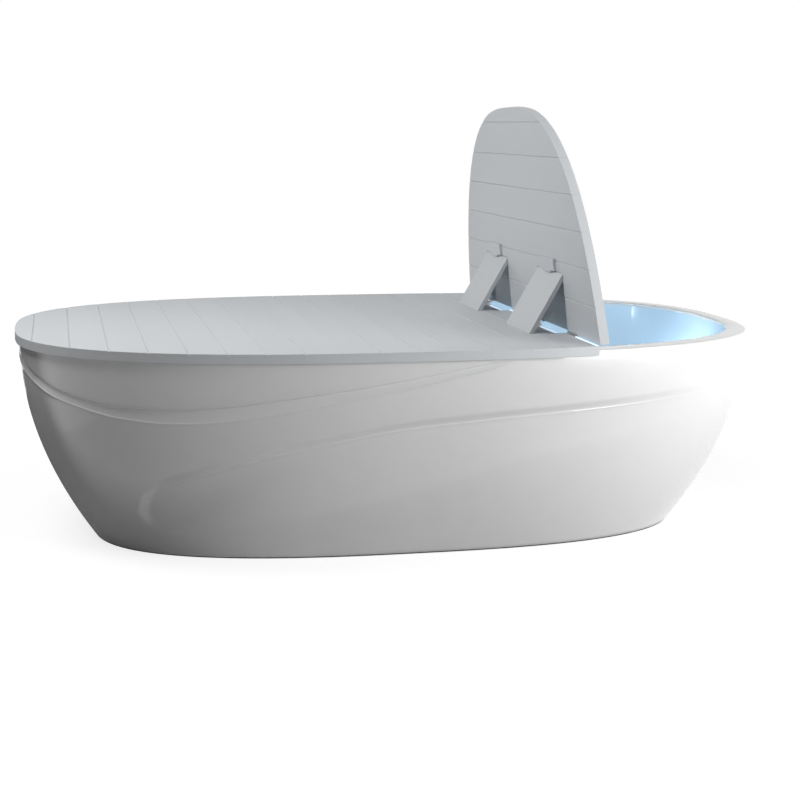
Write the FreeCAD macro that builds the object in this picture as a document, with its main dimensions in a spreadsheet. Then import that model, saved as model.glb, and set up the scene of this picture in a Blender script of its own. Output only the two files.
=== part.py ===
"""Flotation tank: a glossy oval shell with a liner, a slatted cover and a folding head panel.

Millimetres, +Z up.  The origin is on the floor under the centre of the tank, +X points to the
head end and -Y to the front.  Every driving dimension is a cell of the Sizes sheet.
"""

import FreeCAD, Part
import math
import os
import re
import Sketcher

os.makedirs("parts", exist_ok=True)

doc = FreeCAD.newDocument("flotation_tank")
sizes = doc.addObject("Spreadsheet::Sheet", "Sizes")

# ---------------------------------------------------------------- driving dimensions

DRIVING_SIZES = [
    # oval cover and the folding head panel
    ("cover_length", 2312, "cover, overall length with the head panel closed"),
    ("cover_width", 1370, "cover, overall width"),
    ("cover_top", 630, "top face of the closed cover above the floor"),
    ("cover_thickness", 27, "cover board thickness"),
    ("outline_power", 2.7, "superellipse power of the rim and cover outlines"),
    ("cover_overhang", 10.5, "cover edge outside the rim"),
    ("lip_clearance", 4, "cover channel clearance each side of the rim"),
    ("cover_boards", 16, "boards of the flat cover, the last one cut short"),
    ("panel_boards", 7, "boards of the head panel, the last one cut short"),
    ("foot_board", 55, "width left of the last board at the foot end"),
    ("head_board", 48, "width left of the last board at the head end"),
    ("groove_depth", 2.5, "V groove along the board joints"),
    ("fold_gap", 4, "gap between the flat cover and the head panel"),
    ("open_angle", 96.3, "head panel swung up from closed"),
    ("batten_width", 60, "batten under the boards"),
    ("batten_height", 20, "batten under the boards"),
    ("batten_spacing", 300, "cover battens, centre to centre across the tank"),
    ("panel_batten_spacing", 480, "head panel battens, centre to centre"),
    ("batten_setback", 18, "batten end to the fold"),
    ("screw_radius", 2, "batten screw shank"),
    ("screw_head_radius", 4.5, "batten screw head"),
    ("screw_head_height", 3, "batten screw head"),
    ("screw_bite", 12, "screw length inside the boards"),
    # fold hinges
    ("hinge_width", 80, "fold hinge width"),
    ("hinge_spacing", 434, "fold hinges, centre to centre"),
    ("hinge_radius", 5, "fold hinge knuckle radius"),
    ("hinge_pin_radius", 2.5, "fold hinge pin radius"),
    ("leaf_thickness", 1.7, "fold hinge leaf"),
    ("knuckle_gap", 0.4, "end play between hinge knuckles"),
    ("running_gap", 0.06, "radial clearance of pins and shafts"),
    ("notch_gap", 1, "clearance round hinges and stays"),
    ("leaf_setback", 2, "fold hinge leaf above the underside of the boards"),
    ("cut_past", 1, "how far a cutting tool runs past what it cuts"),
    # prop stays
    ("stay_spacing", 546, "prop stays, centre to centre"),
    ("stay_width", 231, "prop stay width"),
    ("stay_thickness", 12, "prop stay thickness"),
    ("stay_angle", 36, "stay to head panel when open"),
    ("pivot_place", 175, "stay pivot from the fold axis, along the panel"),
    ("pivot_depth", 6, "stay pivot below the panel face"),
    ("foot_depth", 7, "open stay foot centre below the cover face"),
    ("seat_gap", 0.3, "stay foot to its pocket"),
    ("block_width", 120, "stay hinge block width"),
    ("block_length", 38, "stay hinge block along the panel"),
    ("block_height", 7, "stay hinge block above the panel face"),
    ("block_pin_radius", 3, "stay hinge pin radius"),
    ("knuckle_width", 58, "stay hinge knuckle in the stay slot"),
    ("pin_setback", 1, "stay hinge pin end inside the stay edge"),
    # shell and rim
    ("rim_height", 618, "rim top above the floor"),
    ("rim_width", 58, "flat rim width"),
    ("rim_thickness", 10, "rolled rim thickness"),
    ("rim_round", 5, "outer edge radius of the rim"),
    ("shell_wall", 8, "outer shell laminate"),
    ("shell_bottom", 4, "shell edge above the floor"),
    ("shell_taper_length", 221.5, "shell end inset at the floor"),
    ("shell_taper_width", 206.5, "shell side inset at the floor"),
    ("notch_width", 170, "service notch in the back of the shell"),
    ("notch_height", 110, "service notch above the floor"),
    ("notch_round", 30, "service notch corner radius"),
    ("notch_place", -790, "service notch and drain from the centre of the tank"),
    # liner
    ("floor_height", 170, "liner floor above the ground"),
    ("liner_wall", 8, "liner laminate"),
    ("liner_taper_length", 140, "liner end inset at its floor"),
    ("liner_taper_width", 130, "liner side inset at its floor"),
    ("liner_corner", 60, "radius between liner wall and floor"),
    ("flange_width", 36, "liner flange bonded under the rim"),
    ("flange_thickness", 10, "liner flange"),
    ("bond_gap", 0.3, "glue line between curved layers"),
    # insulation and heating
    ("wall_foam", 20, "wall insulation thickness"),
    ("wall_foam_bottom", 235, "wall insulation lower edge"),
    ("wall_foam_top", 430, "wall insulation upper edge"),
    ("floor_foam", 25, "floor insulation thickness"),
    ("floor_foam_length", 1760, "floor insulation length"),
    ("floor_foam_width", 840, "floor insulation width"),
    ("mat_thickness", 3, "heating mat thickness"),
    ("mat_length", 1400, "heating mat length"),
    ("mat_width", 660, "heating mat width"),
    # welded frame and feet
    ("tube_size", 40, "frame square tube"),
    ("tube_wall", 3, "frame tube wall"),
    ("rail_length", 1440, "side rail length"),
    ("rail_spacing", 500, "side rails, centre to centre"),
    ("leg_bottom", 24, "leg underside above the floor"),
    ("foot_plate", 5, "leg end plate"),
    ("leg_pitch_inner", 460, "inner legs, centre to centre"),
    ("leg_pitch_outer", 1360, "outer legs, centre to centre"),
    ("foot_radius", 25, "levelling foot pad"),
    ("foot_height", 10, "levelling foot pad"),
    ("stud_radius", 6, "levelling foot stud"),
    ("stud_length", 44, "levelling foot stud"),
    ("bracket_thickness", 4, "shell bracket bar"),
    ("bracket_width", 30, "shell bracket bar"),
    ("tray_thickness", 3, "equipment tray sheet"),
    ("tray_height", 30, "equipment tray underside above the floor"),
    ("tray_start", -660, "equipment tray foot end"),
    ("tray_finish", 210, "equipment tray head end"),
    # pump
    ("pump_row", -130, "pump axis from the centre line"),
    ("pump_axis_height", 85, "pump axis above the floor"),
    ("volute_place", -486, "pump housing foot-side face"),
    ("volute_radius", 44, "pump housing radius"),
    ("volute_length", 56, "pump housing length"),
    ("volute_wall", 8, "pump housing wall"),
    ("motor_radius", 41, "pump motor radius"),
    ("motor_length", 150, "pump motor length"),
    ("pump_foot_length", 90, "pump mounting foot length"),
    ("pump_foot_width", 70, "pump mounting foot width"),
    ("port_wall", 4, "pump and filter port wall round the pipe"),
    ("port_length", 6, "pump and filter port past the body"),
    ("vane_count", 6, "impeller vanes"),
    ("impeller_gap", 3, "impeller to housing"),
    ("impeller_disc", 4, "impeller back disc thickness"),
    ("vane_height", 12, "impeller vane height"),
    ("vane_thickness", 3, "impeller vane thickness"),
    ("shaft_radius", 6, "pump shaft radius"),
    ("shaft_bite", 60, "pump shaft inside the motor"),
    ("shaft_end_gap", 1, "pump shaft to the end of its hole"),
    # filter and pipes
    ("filter_row", 130, "filter axis from the centre line"),
    ("filter_place", -620, "filter canister foot end"),
    ("filter_length", 280, "filter canister length"),
    ("filter_radius", 44, "filter canister radius"),
    ("canister_wall", 4, "filter canister wall"),
    ("cartridge_radius", 32, "filter cartridge"),
    ("filter_collar", 4, "filter cap collar, proud of the canister"),
    ("filter_collar_length", 26, "filter cap collar"),
    ("saddle_width", 60, "filter saddle across the canister"),
    ("saddle_length", 30, "filter saddle along the canister"),
    ("pipe_radius", 16, "pipe outside radius"),
    ("pipe_wall", 3, "pipe wall"),
    ("pipe_bend", 36, "pipe bend radius, centre line"),
    ("suction_place", -560, "suction fitting from the centre"),
    ("return_place", -290, "return fitting from the centre"),
    # floor fittings
    ("fitting_flange_radius", 38, "floor fitting flange"),
    ("fitting_flange_height", 4, "floor fitting flange above the liner floor"),
    ("fitting_body_radius", 21, "floor fitting body"),
    ("fitting_body_length", 38, "floor fitting body below the liner floor"),
    ("grille_radius", 34, "fitting grille"),
    ("grille_height", 6, "fitting grille"),
    ("grille_hole_radius", 3, "grille holes"),
    ("grille_hole_circle", 21, "grille holes, circle radius"),
    ("grille_hole_count", 12, "grille holes"),
    # drain
    ("drain_flange_radius", 34, "drain flange"),
    ("drain_flange_height", 3, "drain flange above the liner floor"),
    ("drain_bore_radius", 16, "drain bore"),
    ("drain_drop_height", 62, "drain pipe run above the floor"),
    ("drain_run_end", 246, "drain pipe end from the centre line"),
    ("plug_head_radius", 24, "drain plug head"),
    ("plug_head_height", 5, "drain plug head"),
    ("plug_stem_length", 22, "drain plug stem"),
    ("plug_gap", 0.5, "drain plug to its bore"),
    ("plug_shelf", 3, "drain bore below the plug"),
    ("valve_length", 60, "drain valve body"),
    ("valve_radius", 24, "drain valve body"),
    ("spigot_length", 30, "drain hose spigot"),
    ("ball_radius", 19, "drain valve ball"),
    ("ball_gap", 0.3, "drain valve ball to its seat"),
    ("valve_stem_radius", 5, "drain valve stem"),
    ("valve_stem_height", 14, "drain valve stem above the body"),
    ("handle_length", 62, "drain valve handle"),
    ("handle_width", 16, "drain valve handle"),
    ("handle_thickness", 5, "drain valve handle"),
    # light and buttons
    ("light_height", 480, "light centre above the floor"),
    ("light_bezel_radius", 35, "light bezel"),
    ("light_lens_radius", 26, "light lens"),
    ("light_body_radius", 24, "light body behind the liner"),
    ("light_body_depth", 22, "light body behind the liner"),
    ("light_proud", 5, "light bezel thickness"),
    ("button_height", 525, "air button centre above the floor"),
    ("button_spacing", 120, "air buttons, centre to centre"),
    ("button_bezel_radius", 24, "air button bezel"),
    ("button_radius", 15, "air button"),
    ("button_body_radius", 19, "air button body behind the liner"),
    ("button_body_depth", 30, "air button body behind the liner"),
    ("button_proud", 5, "air button bezel thickness"),
    ("button_stand", 2, "air button above its bezel"),
    ("button_length", 10, "air button"),
    ("button_travel", 3, "air button travel"),
    ("button_gap", 0.3, "air button to its bezel"),
    ("button_floor_gap", 1, "pressed air button to the bottom of its bezel"),
    ("mount_gap", 0.3, "fittings to the hole in the liner"),
    ("wall_seat", 1, "wall fitting flange off the curved liner at its centre"),
    ("bezel_bevel", 2, "bevel on wall fitting bezels"),
    ("bezel_floor", 1.5, "light bezel behind its lens"),
    # control box
    ("box_place", -180, "control box foot end"),
    ("box_length", 220, "control box length"),
    ("box_width", 170, "control box width"),
    ("box_height", 60, "control box height"),
    ("box_wall", 3, "control box wall"),
    ("gland_radius", 13, "power cord gland"),
    ("gland_length", 24, "power cord gland"),
    ("gland_bore", 4.5, "power cord gland bore radius"),
    ("circuit_length", 170, "control board length"),
    ("circuit_width", 120, "control board width"),
    ("circuit_thickness", 2, "control board thickness"),
    ("standoff_radius", 4, "control board standoff"),
    ("standoff_height", 8, "control board above the box floor"),
    ("standoff_inset", 10, "standoff from the board edges"),
    ("transformer_length", 60, "transformer on the control board"),
    ("transformer_width", 50, "transformer on the control board"),
    ("transformer_height", 30, "transformer on the control board"),
]

FOLLOWING_SIZES = [
    (
        "slat_pitch",
        "=(cover_length - fold_gap - foot_board - head_board) / (cover_boards + panel_boards - 2)",
        "width of one whole cover board",
    ),
    (
        "fold_place",
        "=-cover_length / 2 + foot_board + (cover_boards - 1) * slat_pitch + fold_gap / 2",
        "fold axis from the centre of the tank",
    ),
]

for row, (alias, number, note) in enumerate(DRIVING_SIZES + FOLLOWING_SIZES, start=1):
    sizes.set("A%d" % row, note)
    sizes.set("B%d" % row, str(number))
    sizes.setAlias("B%d" % row, alias)
doc.recompute()

ALIASES = re.compile(
    r"\b(%s)\b" % "|".join(alias for alias, _, _ in DRIVING_SIZES + FOLLOWING_SIZES)
)

# ---------------------------------------------------------------- places worked out from the sheet

FOLD_EDGE = "(fold_place - fold_gap / 2)"
PANEL_EDGE = "(fold_place + fold_gap / 2)"
BOARD_BOTTOM = "(cover_top - cover_thickness)"
BATTEN_BOTTOM = "(cover_top - cover_thickness - batten_height)"
RIM_LENGTH = "(cover_length / 2 - cover_overhang)"
RIM_BREADTH = "(cover_width / 2 - cover_overhang)"
MOUTH_LENGTH = "(cover_length / 2 - cover_overhang - rim_width)"
MOUTH_BREADTH = "(cover_width / 2 - cover_overhang - rim_width)"
RIM_UNDERSIDE = "(rim_height - rim_thickness)"
FLANGE_BOTTOM = "(rim_height - rim_thickness - flange_thickness)"
FOAM_TOP = "(floor_height - liner_wall - mat_thickness)"
FRAME_TOP = "(floor_height - liner_wall - mat_thickness - floor_foam)"
RAIL_BOTTOM = "(floor_height - liner_wall - mat_thickness - floor_foam - tube_size)"
RAIL_INSIDE = "(rail_spacing / 2 - tube_size / 2)"
TRAY_TOP = "(tray_height + tray_thickness)"
FITTING_END = "(floor_height - fitting_body_length)"

# The stay pivot, in the section along the tank, from the fold axis with the panel open.
PIVOT_FORWARD = "(-pivot_place * cos(open_angle) - pivot_depth * sin(open_angle))"
PIVOT_RISE = "(pivot_place * sin(open_angle) - pivot_depth * cos(open_angle))"
STAY_SLOPE = "(open_angle - stay_angle)"
STAY_REACH = "((%s + foot_depth) / sin(%s))" % (PIVOT_RISE, STAY_SLOPE)
FOOT_FORWARD = "(%s + %s * cos(%s))" % (PIVOT_FORWARD, STAY_REACH, STAY_SLOPE)
POCKET_REACH = "(%s + stay_thickness / 2 + seat_gap)" % FOOT_FORWARD
COVER_POCKET_DEPTH = "(foot_depth + stay_thickness / 2 + seat_gap)"
PANEL_POCKET_DEPTH = "(pivot_depth + stay_thickness / 2 + seat_gap)"
PANEL_POCKET_REACH = "(pivot_place + stay_thickness / 2 + notch_gap)"

VOLUTE_END = "(volute_place + volute_length)"
MOTOR_END = "(volute_place + volute_length + motor_length)"
CAVITY_RADIUS = "(volute_radius - volute_wall)"
DISCHARGE_PLACE = "(volute_place + volute_length / 2)"
PORT_RADIUS = "(pipe_radius + port_wall)"
PIPE_BORE = "(pipe_radius - pipe_wall)"
PUMP_PORT_END = "(pump_row + volute_radius + port_length)"
FILTER_PORT_START = "(filter_row - filter_radius - port_length)"
FILTER_END = "(filter_place + filter_length)"
VALVE_MIDDLE = "(drain_run_end + valve_length / 2)"
HANDLE_BOTTOM = "(drain_drop_height + valve_radius + valve_stem_height)"


# ---------------------------------------------------------------- sheet and object helpers


def expression(text):
    """The same expression with each alias pointed at the sheet."""
    return ALIASES.sub(r"Sizes.\1", str(text))


def value(text):
    """The number that an expression over the sheet gives now."""
    return float(sizes.evalExpression(expression(text)))


def bind(thing, **properties):
    """Tie properties of an object to expressions over the sheet."""
    for name, text in properties.items():
        thing.setExpression(name, expression(text))


def place(thing, x="0", y="0", z="0", turn="0", about="0; 1; 0"):
    """Tie a Placement: a turn in degrees about an axis through the object's own origin, then x, y, z."""
    thing.setExpression(
        "Placement",
        expression("placement(vector(%s; %s; %s); rotation(vector(%s); %s))" % (x, y, z, about, turn)),
    )


def swing_open(thing):
    """Swing a piece of the closed head panel up about the fold axis."""
    thing.setExpression(
        "Placement",
        expression(
            "placement(vector(0; 0; 0); rotation(vector(0; 1; 0); -open_angle);"
            " vector(fold_place; 0; cover_top))"
        ),
    )


def block(label, length, width, height, x, y, z):
    """Box centred on x and y that stands on z."""
    thing = doc.addObject("Part::Box", label)
    bind(thing, Length=length, Width=width, Height=height)
    place(thing, "%s - (%s) / 2" % (x, length), "%s - (%s) / 2" % (y, width), z)
    return thing


def slab(label, x0, x1, y0, y1, z0, z1):
    """Box between two corners."""
    thing = doc.addObject("Part::Box", label)
    bind(
        thing,
        Length="%s - (%s)" % (x1, x0),
        Width="%s - (%s)" % (y1, y0),
        Height="%s - (%s)" % (z1, z0),
    )
    place(thing, x0, y0, z0)
    return thing


TURNS = {"X": ("90", "0; 1; 0"), "Y": ("-90", "1; 0; 0"), "Z": ("0", "0; 0; 1")}


def rod(label, radius, length, x, y, z, along="Z"):
    """Cylinder that starts at x, y, z and runs along an axis."""
    thing = doc.addObject("Part::Cylinder", label)
    bind(thing, Radius=radius, Height=length)
    turn, about = TURNS[along]
    place(thing, x, y, z, turn, about)
    return thing


def cross_rod(label, radius, length, x, y, z):
    """Cylinder along Y, centred on y."""
    return rod(label, radius, length, x, "%s - (%s) / 2" % (y, length), z, "Y")


def ball(label, radius, x, y, z):
    """Sphere centred on x, y, z."""
    thing = doc.addObject("Part::Sphere", label)
    bind(thing, Radius=radius)
    place(thing, x, y, z)
    return thing


def join(label, *parts):
    """One solid from touching parts."""
    thing = doc.addObject("Part::MultiFuse", label)
    thing.Shapes = list(parts)
    thing.Refine = True
    return thing


def group(label, parts):
    """Separate solids kept in one object."""
    thing = doc.addObject("Part::Compound", label)
    thing.Links = list(parts)
    return thing


def cut(label, base, *tools):
    """The base less the tools."""
    thing = doc.addObject("Part::Cut", label)
    thing.Base = base
    thing.Tool = tools[0] if len(tools) == 1 else group(label + "_tools", tools)
    return thing


def overlap(label, one, other):
    """What two objects share."""
    thing = doc.addObject("Part::Common", label)
    thing.Base = one
    thing.Tool = other
    return thing


def turned(label, points):
    """PartDesign body revolved about its own Z from radius and height expressions."""
    body = doc.addObject("PartDesign::Body", label)
    sketch = body.newObject("Sketcher::SketchObject", label + "_profile")
    planes = {feature.Role: feature for feature in body.Origin.OriginFeatures}
    sketch.AttachmentSupport = [(planes["XZ_Plane"], "")]
    sketch.MapMode = "FlatFace"
    corners = [FreeCAD.Vector(value(radius), value(height), 0) for radius, height in points]
    for index, corner in enumerate(corners):
        sketch.addGeometry(Part.LineSegment(corner, corners[(index + 1) % len(corners)]), False)
    for index in range(len(corners)):
        following = (index + 1) % len(corners)
        sketch.addConstraint(Sketcher.Constraint("Coincident", index, 2, following, 1))
    for index, (radius, height) in enumerate(points):
        for axis, kind, text, place_now in (
            (-2, "DistanceX", radius, corners[index].x),
            (-1, "DistanceY", height, corners[index].y),
        ):
            if text == "0":
                sketch.addConstraint(Sketcher.Constraint("PointOnObject", index, 1, axis))
                continue
            constraint = sketch.addConstraint(
                Sketcher.Constraint(kind, -1, 1, index, 1, place_now)
            )
            sketch.setExpression("Constraints[%d]" % constraint, expression(text))
    revolution = body.newObject("PartDesign::Revolution", label + "_turned")
    revolution.Profile = sketch
    revolution.ReferenceAxis = (sketch, ["V_Axis"])
    revolution.Angle = 360
    body.Tip = revolution
    return body


pieces = []


def piece(thing, label):
    """Keep an object as a finished piece under its label."""
    thing.Label = label
    pieces.append(thing)
    return thing


# ---------------------------------------------------------------- oval outlines

OUTLINE_POINTS = 40
LOFT_LEVELS = 5


def oval_wire(half_length, half_breadth, height):
    """Superellipse in a level plane, as one closed spline."""
    power = 2 / sizes.outline_power
    points = []
    for index in range(OUTLINE_POINTS):
        angle = 2 * math.pi * index / OUTLINE_POINTS
        across, along = math.sin(angle), math.cos(angle)
        points.append(
            FreeCAD.Vector(
                half_length * math.copysign(abs(along) ** power, along),
                half_breadth * math.copysign(abs(across) ** power, across),
                height,
            )
        )
    curve = Part.BSplineCurve()
    steps = [index / OUTLINE_POINTS for index in range(OUTLINE_POINTS + 1)]
    curve.interpolate(Points=points, PeriodicFlag=True, Parameters=steps)
    return Part.Wire([curve.toShape()])


def oval_slab(label, half_length, half_breadth, low, high):
    """Level slab with the oval outline, extruded from its wire."""
    outline = doc.addObject("Part::Feature", label + "_outline")
    outline.Shape = oval_wire(value(half_length), value(half_breadth), value(low))
    thing = doc.addObject("Part::Extrusion", label)
    thing.Base = outline
    thing.DirMode = "Custom"
    thing.Dir = FreeCAD.Vector(0, 0, 1)
    thing.Solid = True
    bind(thing, LengthFwd="%s - (%s)" % (high, low))
    return thing


def bowl(label, top, low, high, depth, mouth, taper, grow=0, corner=0, lip=0):
    """Oval solid whose walls draw in by a parabola below the top, with a rounded lower or upper edge.

    mouth and taper are the half sizes at the top and what each loses at the depth below it.
    """

    def section(height, inset=0):
        drawn_in = ((top - height) / depth) ** 2
        return oval_wire(
            mouth[0] + grow - inset - taper[0] * drawn_in,
            mouth[1] + grow - inset - taper[1] * drawn_in,
            height,
        )

    base, crest = low + corner, high - lip
    steps = range(LOFT_LEVELS)
    turns = [math.pi / 2 * step / (LOFT_LEVELS - 1) for step in steps]
    stacks = [[section(base + (crest - base) * step / (LOFT_LEVELS - 1)) for step in steps]]
    for radius, edge, sign in ((corner, base, -1), (lip, crest, 1)):
        if radius:
            stacks.append(
                [
                    section(edge + sign * radius * math.sin(turn), radius * (1 - math.cos(turn)))
                    for turn in turns
                ]
            )
    solids = [Part.makeLoft(stack, True, False) for stack in stacks]
    thing = doc.addObject("Part::Feature", label)
    thing.Shape = solids[0].fuse(solids[1:]) if solids[1:] else solids[0]
    return thing


def shell_bowl(label, low, high, grow=0, lip=0):
    """The outer shell's form between two heights, grown by an amount."""
    rim = (value(RIM_LENGTH), value(RIM_BREADTH))
    taper = (sizes.shell_taper_length, sizes.shell_taper_width)
    return bowl(label, sizes.rim_height, low, high, sizes.rim_height, rim, taper, grow, lip=lip)


def liner_bowl(label, low, high, grow=0, corner=0):
    """The liner's form between two heights, grown by an amount."""
    top = value(RIM_UNDERSIDE)
    mouth = (value(MOUTH_LENGTH), value(MOUTH_BREADTH))
    taper = (sizes.liner_taper_length, sizes.liner_taper_width)
    depth = top - sizes.floor_height
    return bowl(label, top, low, high, depth, mouth, taper, grow, corner=corner)


def liner_wall_at(height, mouth, taper):
    """Half size of the liner's inner wall at a height, and its lean from the vertical in degrees."""
    drop = "(%s - (%s))" % (RIM_UNDERSIDE, height)
    depth = "(%s - floor_height)" % RIM_UNDERSIDE
    place_there = "(%s - %s * (%s / %s)^2)" % (mouth, taper, drop, depth)
    lean = "atan(2 * %s * %s / %s^2)" % (taper, drop, depth)
    return place_there, lean


# ---------------------------------------------------------------- wall and floor fittings


def light_stations():
    """Placement arguments of the two lights, at the foot end and the head end."""
    reach, lean = liner_wall_at("light_height", MOUTH_LENGTH, "liner_taper_length")
    foot = dict(x="-" + reach, z="light_height", turn="90 deg - %s" % lean)
    head = dict(x=reach, z="light_height", turn="%s - 90 deg" % lean)
    return {"foot": foot, "head": head}


def button_stations():
    """Placement arguments of the two air buttons on the back wall."""
    reach, lean = liner_wall_at("button_height", MOUTH_BREADTH, "liner_taper_width")
    common = dict(y=reach, z="button_height", turn="90 deg - %s" % lean, about="1; 0; 0")
    light = dict(common, x="-button_spacing / 2")
    pump = dict(common, x="button_spacing / 2")
    return {"light": light, "pump": pump}


LIGHT_PROFILE = [
    ("0", "-light_body_depth"),
    ("light_body_radius", "-light_body_depth"),
    ("light_body_radius", "wall_seat"),
    ("light_bezel_radius", "wall_seat"),
    ("light_bezel_radius", "wall_seat + light_proud - bezel_bevel"),
    ("light_bezel_radius - bezel_bevel", "wall_seat + light_proud"),
    ("light_lens_radius", "wall_seat + light_proud"),
    ("light_lens_radius", "wall_seat + bezel_floor"),
    ("0", "wall_seat + bezel_floor"),
]

LENS_PROFILE = [
    ("0", "wall_seat + bezel_floor"),
    ("light_lens_radius", "wall_seat + bezel_floor"),
    ("light_lens_radius", "wall_seat + light_proud - bezel_bevel / 2"),
    ("0", "wall_seat + light_proud"),
]

BUTTON_WELL = "(wall_seat + button_proud + button_stand - button_length - button_travel - button_floor_gap)"

BUTTON_BEZEL_PROFILE = [
    ("0", "-button_body_depth"),
    ("button_body_radius", "-button_body_depth"),
    ("button_body_radius", "wall_seat"),
    ("button_bezel_radius", "wall_seat"),
    ("button_bezel_radius", "wall_seat + button_proud - bezel_bevel"),
    ("button_bezel_radius - bezel_bevel", "wall_seat + button_proud"),
    ("button_radius + button_gap", "wall_seat + button_proud"),
    ("button_radius + button_gap", BUTTON_WELL),
    ("0", BUTTON_WELL),
]

BUTTON_PROFILE = [
    ("0", "wall_seat + button_proud + button_stand - button_length"),
    ("button_radius", "wall_seat + button_proud + button_stand - button_length"),
    ("button_radius", "wall_seat + button_proud + button_stand - bezel_bevel / 2"),
    ("button_radius - bezel_bevel / 2", "wall_seat + button_proud + button_stand"),
    ("0", "wall_seat + button_proud + button_stand"),
]


def lights():
    """Two sealed lights, one in each end wall, and the clearance for their bodies."""
    bezels, lenses, holes = [], [], []
    for end, station in light_stations().items():
        bezel = turned(end + "_light_bezel", LIGHT_PROFILE)
        lens = turned(end + "_light_lens", LENS_PROFILE)
        place(bezel, **station)
        place(lens, **station)
        bezels.append(bezel)
        lenses.append(lens)
        holes.append(wall_hole(end + "_light_hole", "light_body_radius", station))
    piece(group("light_bezel_pair", bezels), "light_bezels")
    piece(group("light_lens_pair", lenses), "light_lenses")
    return holes


def buttons():
    """Two air buttons on the back wall, and the clearance for their bodies."""
    bezels, holes = [], []
    for use, station in button_stations().items():
        bezel = turned(use + "_button_bezel", BUTTON_BEZEL_PROFILE)
        button = turned(use + "_button_cap", BUTTON_PROFILE)
        place(bezel, **station)
        place(button, **station)
        bezels.append(bezel)
        piece(button, use + "_button")
        holes.append(wall_hole(use + "_button_hole", "button_body_radius", station))
    piece(group("button_bezel_pair", bezels), "button_bezels")
    return holes


def wall_hole(label, radius, station):
    """Cylinder that clears a wall fitting's body, in the same place as the fitting."""
    hole = turned(
        label,
        [
            ("0", "-liner_wall * 3"),
            ("%s + mount_gap" % radius, "-liner_wall * 3"),
            ("%s + mount_gap" % radius, "liner_wall"),
            ("0", "liner_wall"),
        ],
    )
    place(hole, **station)
    return hole


FITTING_PROFILE = [
    (PIPE_BORE, "-fitting_body_length"),
    ("fitting_body_radius", "-fitting_body_length"),
    ("fitting_body_radius", "0"),
    ("fitting_flange_radius", "0"),
    ("fitting_flange_radius", "fitting_flange_height"),
    (PIPE_BORE, "fitting_flange_height"),
]

DRAIN_PROFILE = [
    (PIPE_BORE, "-fitting_body_length"),
    ("fitting_body_radius", "-fitting_body_length"),
    ("fitting_body_radius", "0"),
    ("drain_flange_radius", "0"),
    ("drain_flange_radius", "drain_flange_height"),
    ("drain_bore_radius", "drain_flange_height"),
    ("drain_bore_radius", "drain_flange_height - plug_stem_length - plug_shelf"),
    (PIPE_BORE, "drain_flange_height - plug_stem_length - plug_shelf"),
]

PLUG_PROFILE = [
    ("0", "drain_flange_height - plug_stem_length"),
    ("drain_bore_radius - plug_gap", "drain_flange_height - plug_stem_length"),
    ("drain_bore_radius - plug_gap", "drain_flange_height"),
    ("plug_head_radius", "drain_flange_height"),
    ("plug_head_radius", "drain_flange_height + plug_head_height / 2"),
    ("plug_head_radius / 2", "drain_flange_height + plug_head_height"),
    ("0", "drain_flange_height + plug_head_height"),
]


def grille(label, x, y):
    """Round grille over a floor fitting, with a ring of holes and one in the middle."""
    floor = "floor_height + fitting_flange_height"
    disc = rod(label + "_disc", "grille_radius", "grille_height", x, y, floor)
    holes = [rod(label + "_middle_hole", "grille_hole_radius", "grille_height", x, y, floor)]
    for index in range(sizes.grille_hole_count):
        angle = "(%d * 360 / grille_hole_count)" % index
        holes.append(
            rod(
                "%s_hole_%d" % (label, index + 1),
                "grille_hole_radius",
                "grille_height",
                "%s + grille_hole_circle * cos(%s)" % (x, angle),
                "%s + grille_hole_circle * sin(%s)" % (y, angle),
                floor,
            )
        )
    return cut(label, disc, *holes)


def floor_fittings():
    """Suction and return fittings with their grilles, the drain and its plug, and their clearances."""
    ports = {
        "suction": ("suction_place", "pump_row"),
        "return": ("return_place", "filter_row"),
    }
    fittings, grilles, holes = [], [], []
    for use, (x, y) in ports.items():
        fitting = turned(use + "_fitting", FITTING_PROFILE)
        place(fitting, x, y, "floor_height")
        fittings.append(fitting)
        grilles.append(grille(use + "_grille", x, y))
        holes.append(floor_hole(use + "_hole", x, y))
    piece(group("fitting_pair", fittings), "floor_fittings")
    piece(group("grille_pair", grilles), "fitting_grilles")
    drain = turned("drain_body", DRAIN_PROFILE)
    plug = turned("plug_body", PLUG_PROFILE)
    for thing in (drain, plug):
        place(thing, "notch_place", "0", "floor_height")
    piece(drain, "drain_fitting")
    piece(plug, "drain_plug")
    holes.append(floor_hole("drain_hole", "notch_place", "0"))
    return holes


def floor_hole(label, x, y):
    """Upright clearance for a floor fitting, from the frame to the liner floor."""
    return rod(
        label,
        "fitting_body_radius + mount_gap",
        "floor_height - (%s) + cut_past" % FRAME_TOP,
        x,
        y,
        "%s - cut_past" % FRAME_TOP,
    )


# ---------------------------------------------------------------- shell and liner


def service_notch():
    """Arched notch for the hose and the power cord, through the back of the shell."""
    back = ("0", RIM_BREADTH)
    full = slab(
        "notch_sides",
        "notch_place - notch_width / 2",
        "notch_place + notch_width / 2",
        *back,
        "0",
        "notch_height - notch_round",
    )
    crown = slab(
        "notch_crown",
        "notch_place - notch_width / 2 + notch_round",
        "notch_place + notch_width / 2 - notch_round",
        *back,
        "0",
        "notch_height",
    )
    rounds = [
        rod(
            "notch_round_" + side,
            "notch_round",
            RIM_BREADTH,
            "notch_place %s (notch_width / 2 - notch_round)" % sign,
            "0",
            "notch_height - notch_round",
            "Y",
        )
        for side, sign in (("foot", "-"), ("head", "+"))
    ]
    return join("service_notch", full, crown, *rounds)


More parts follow.
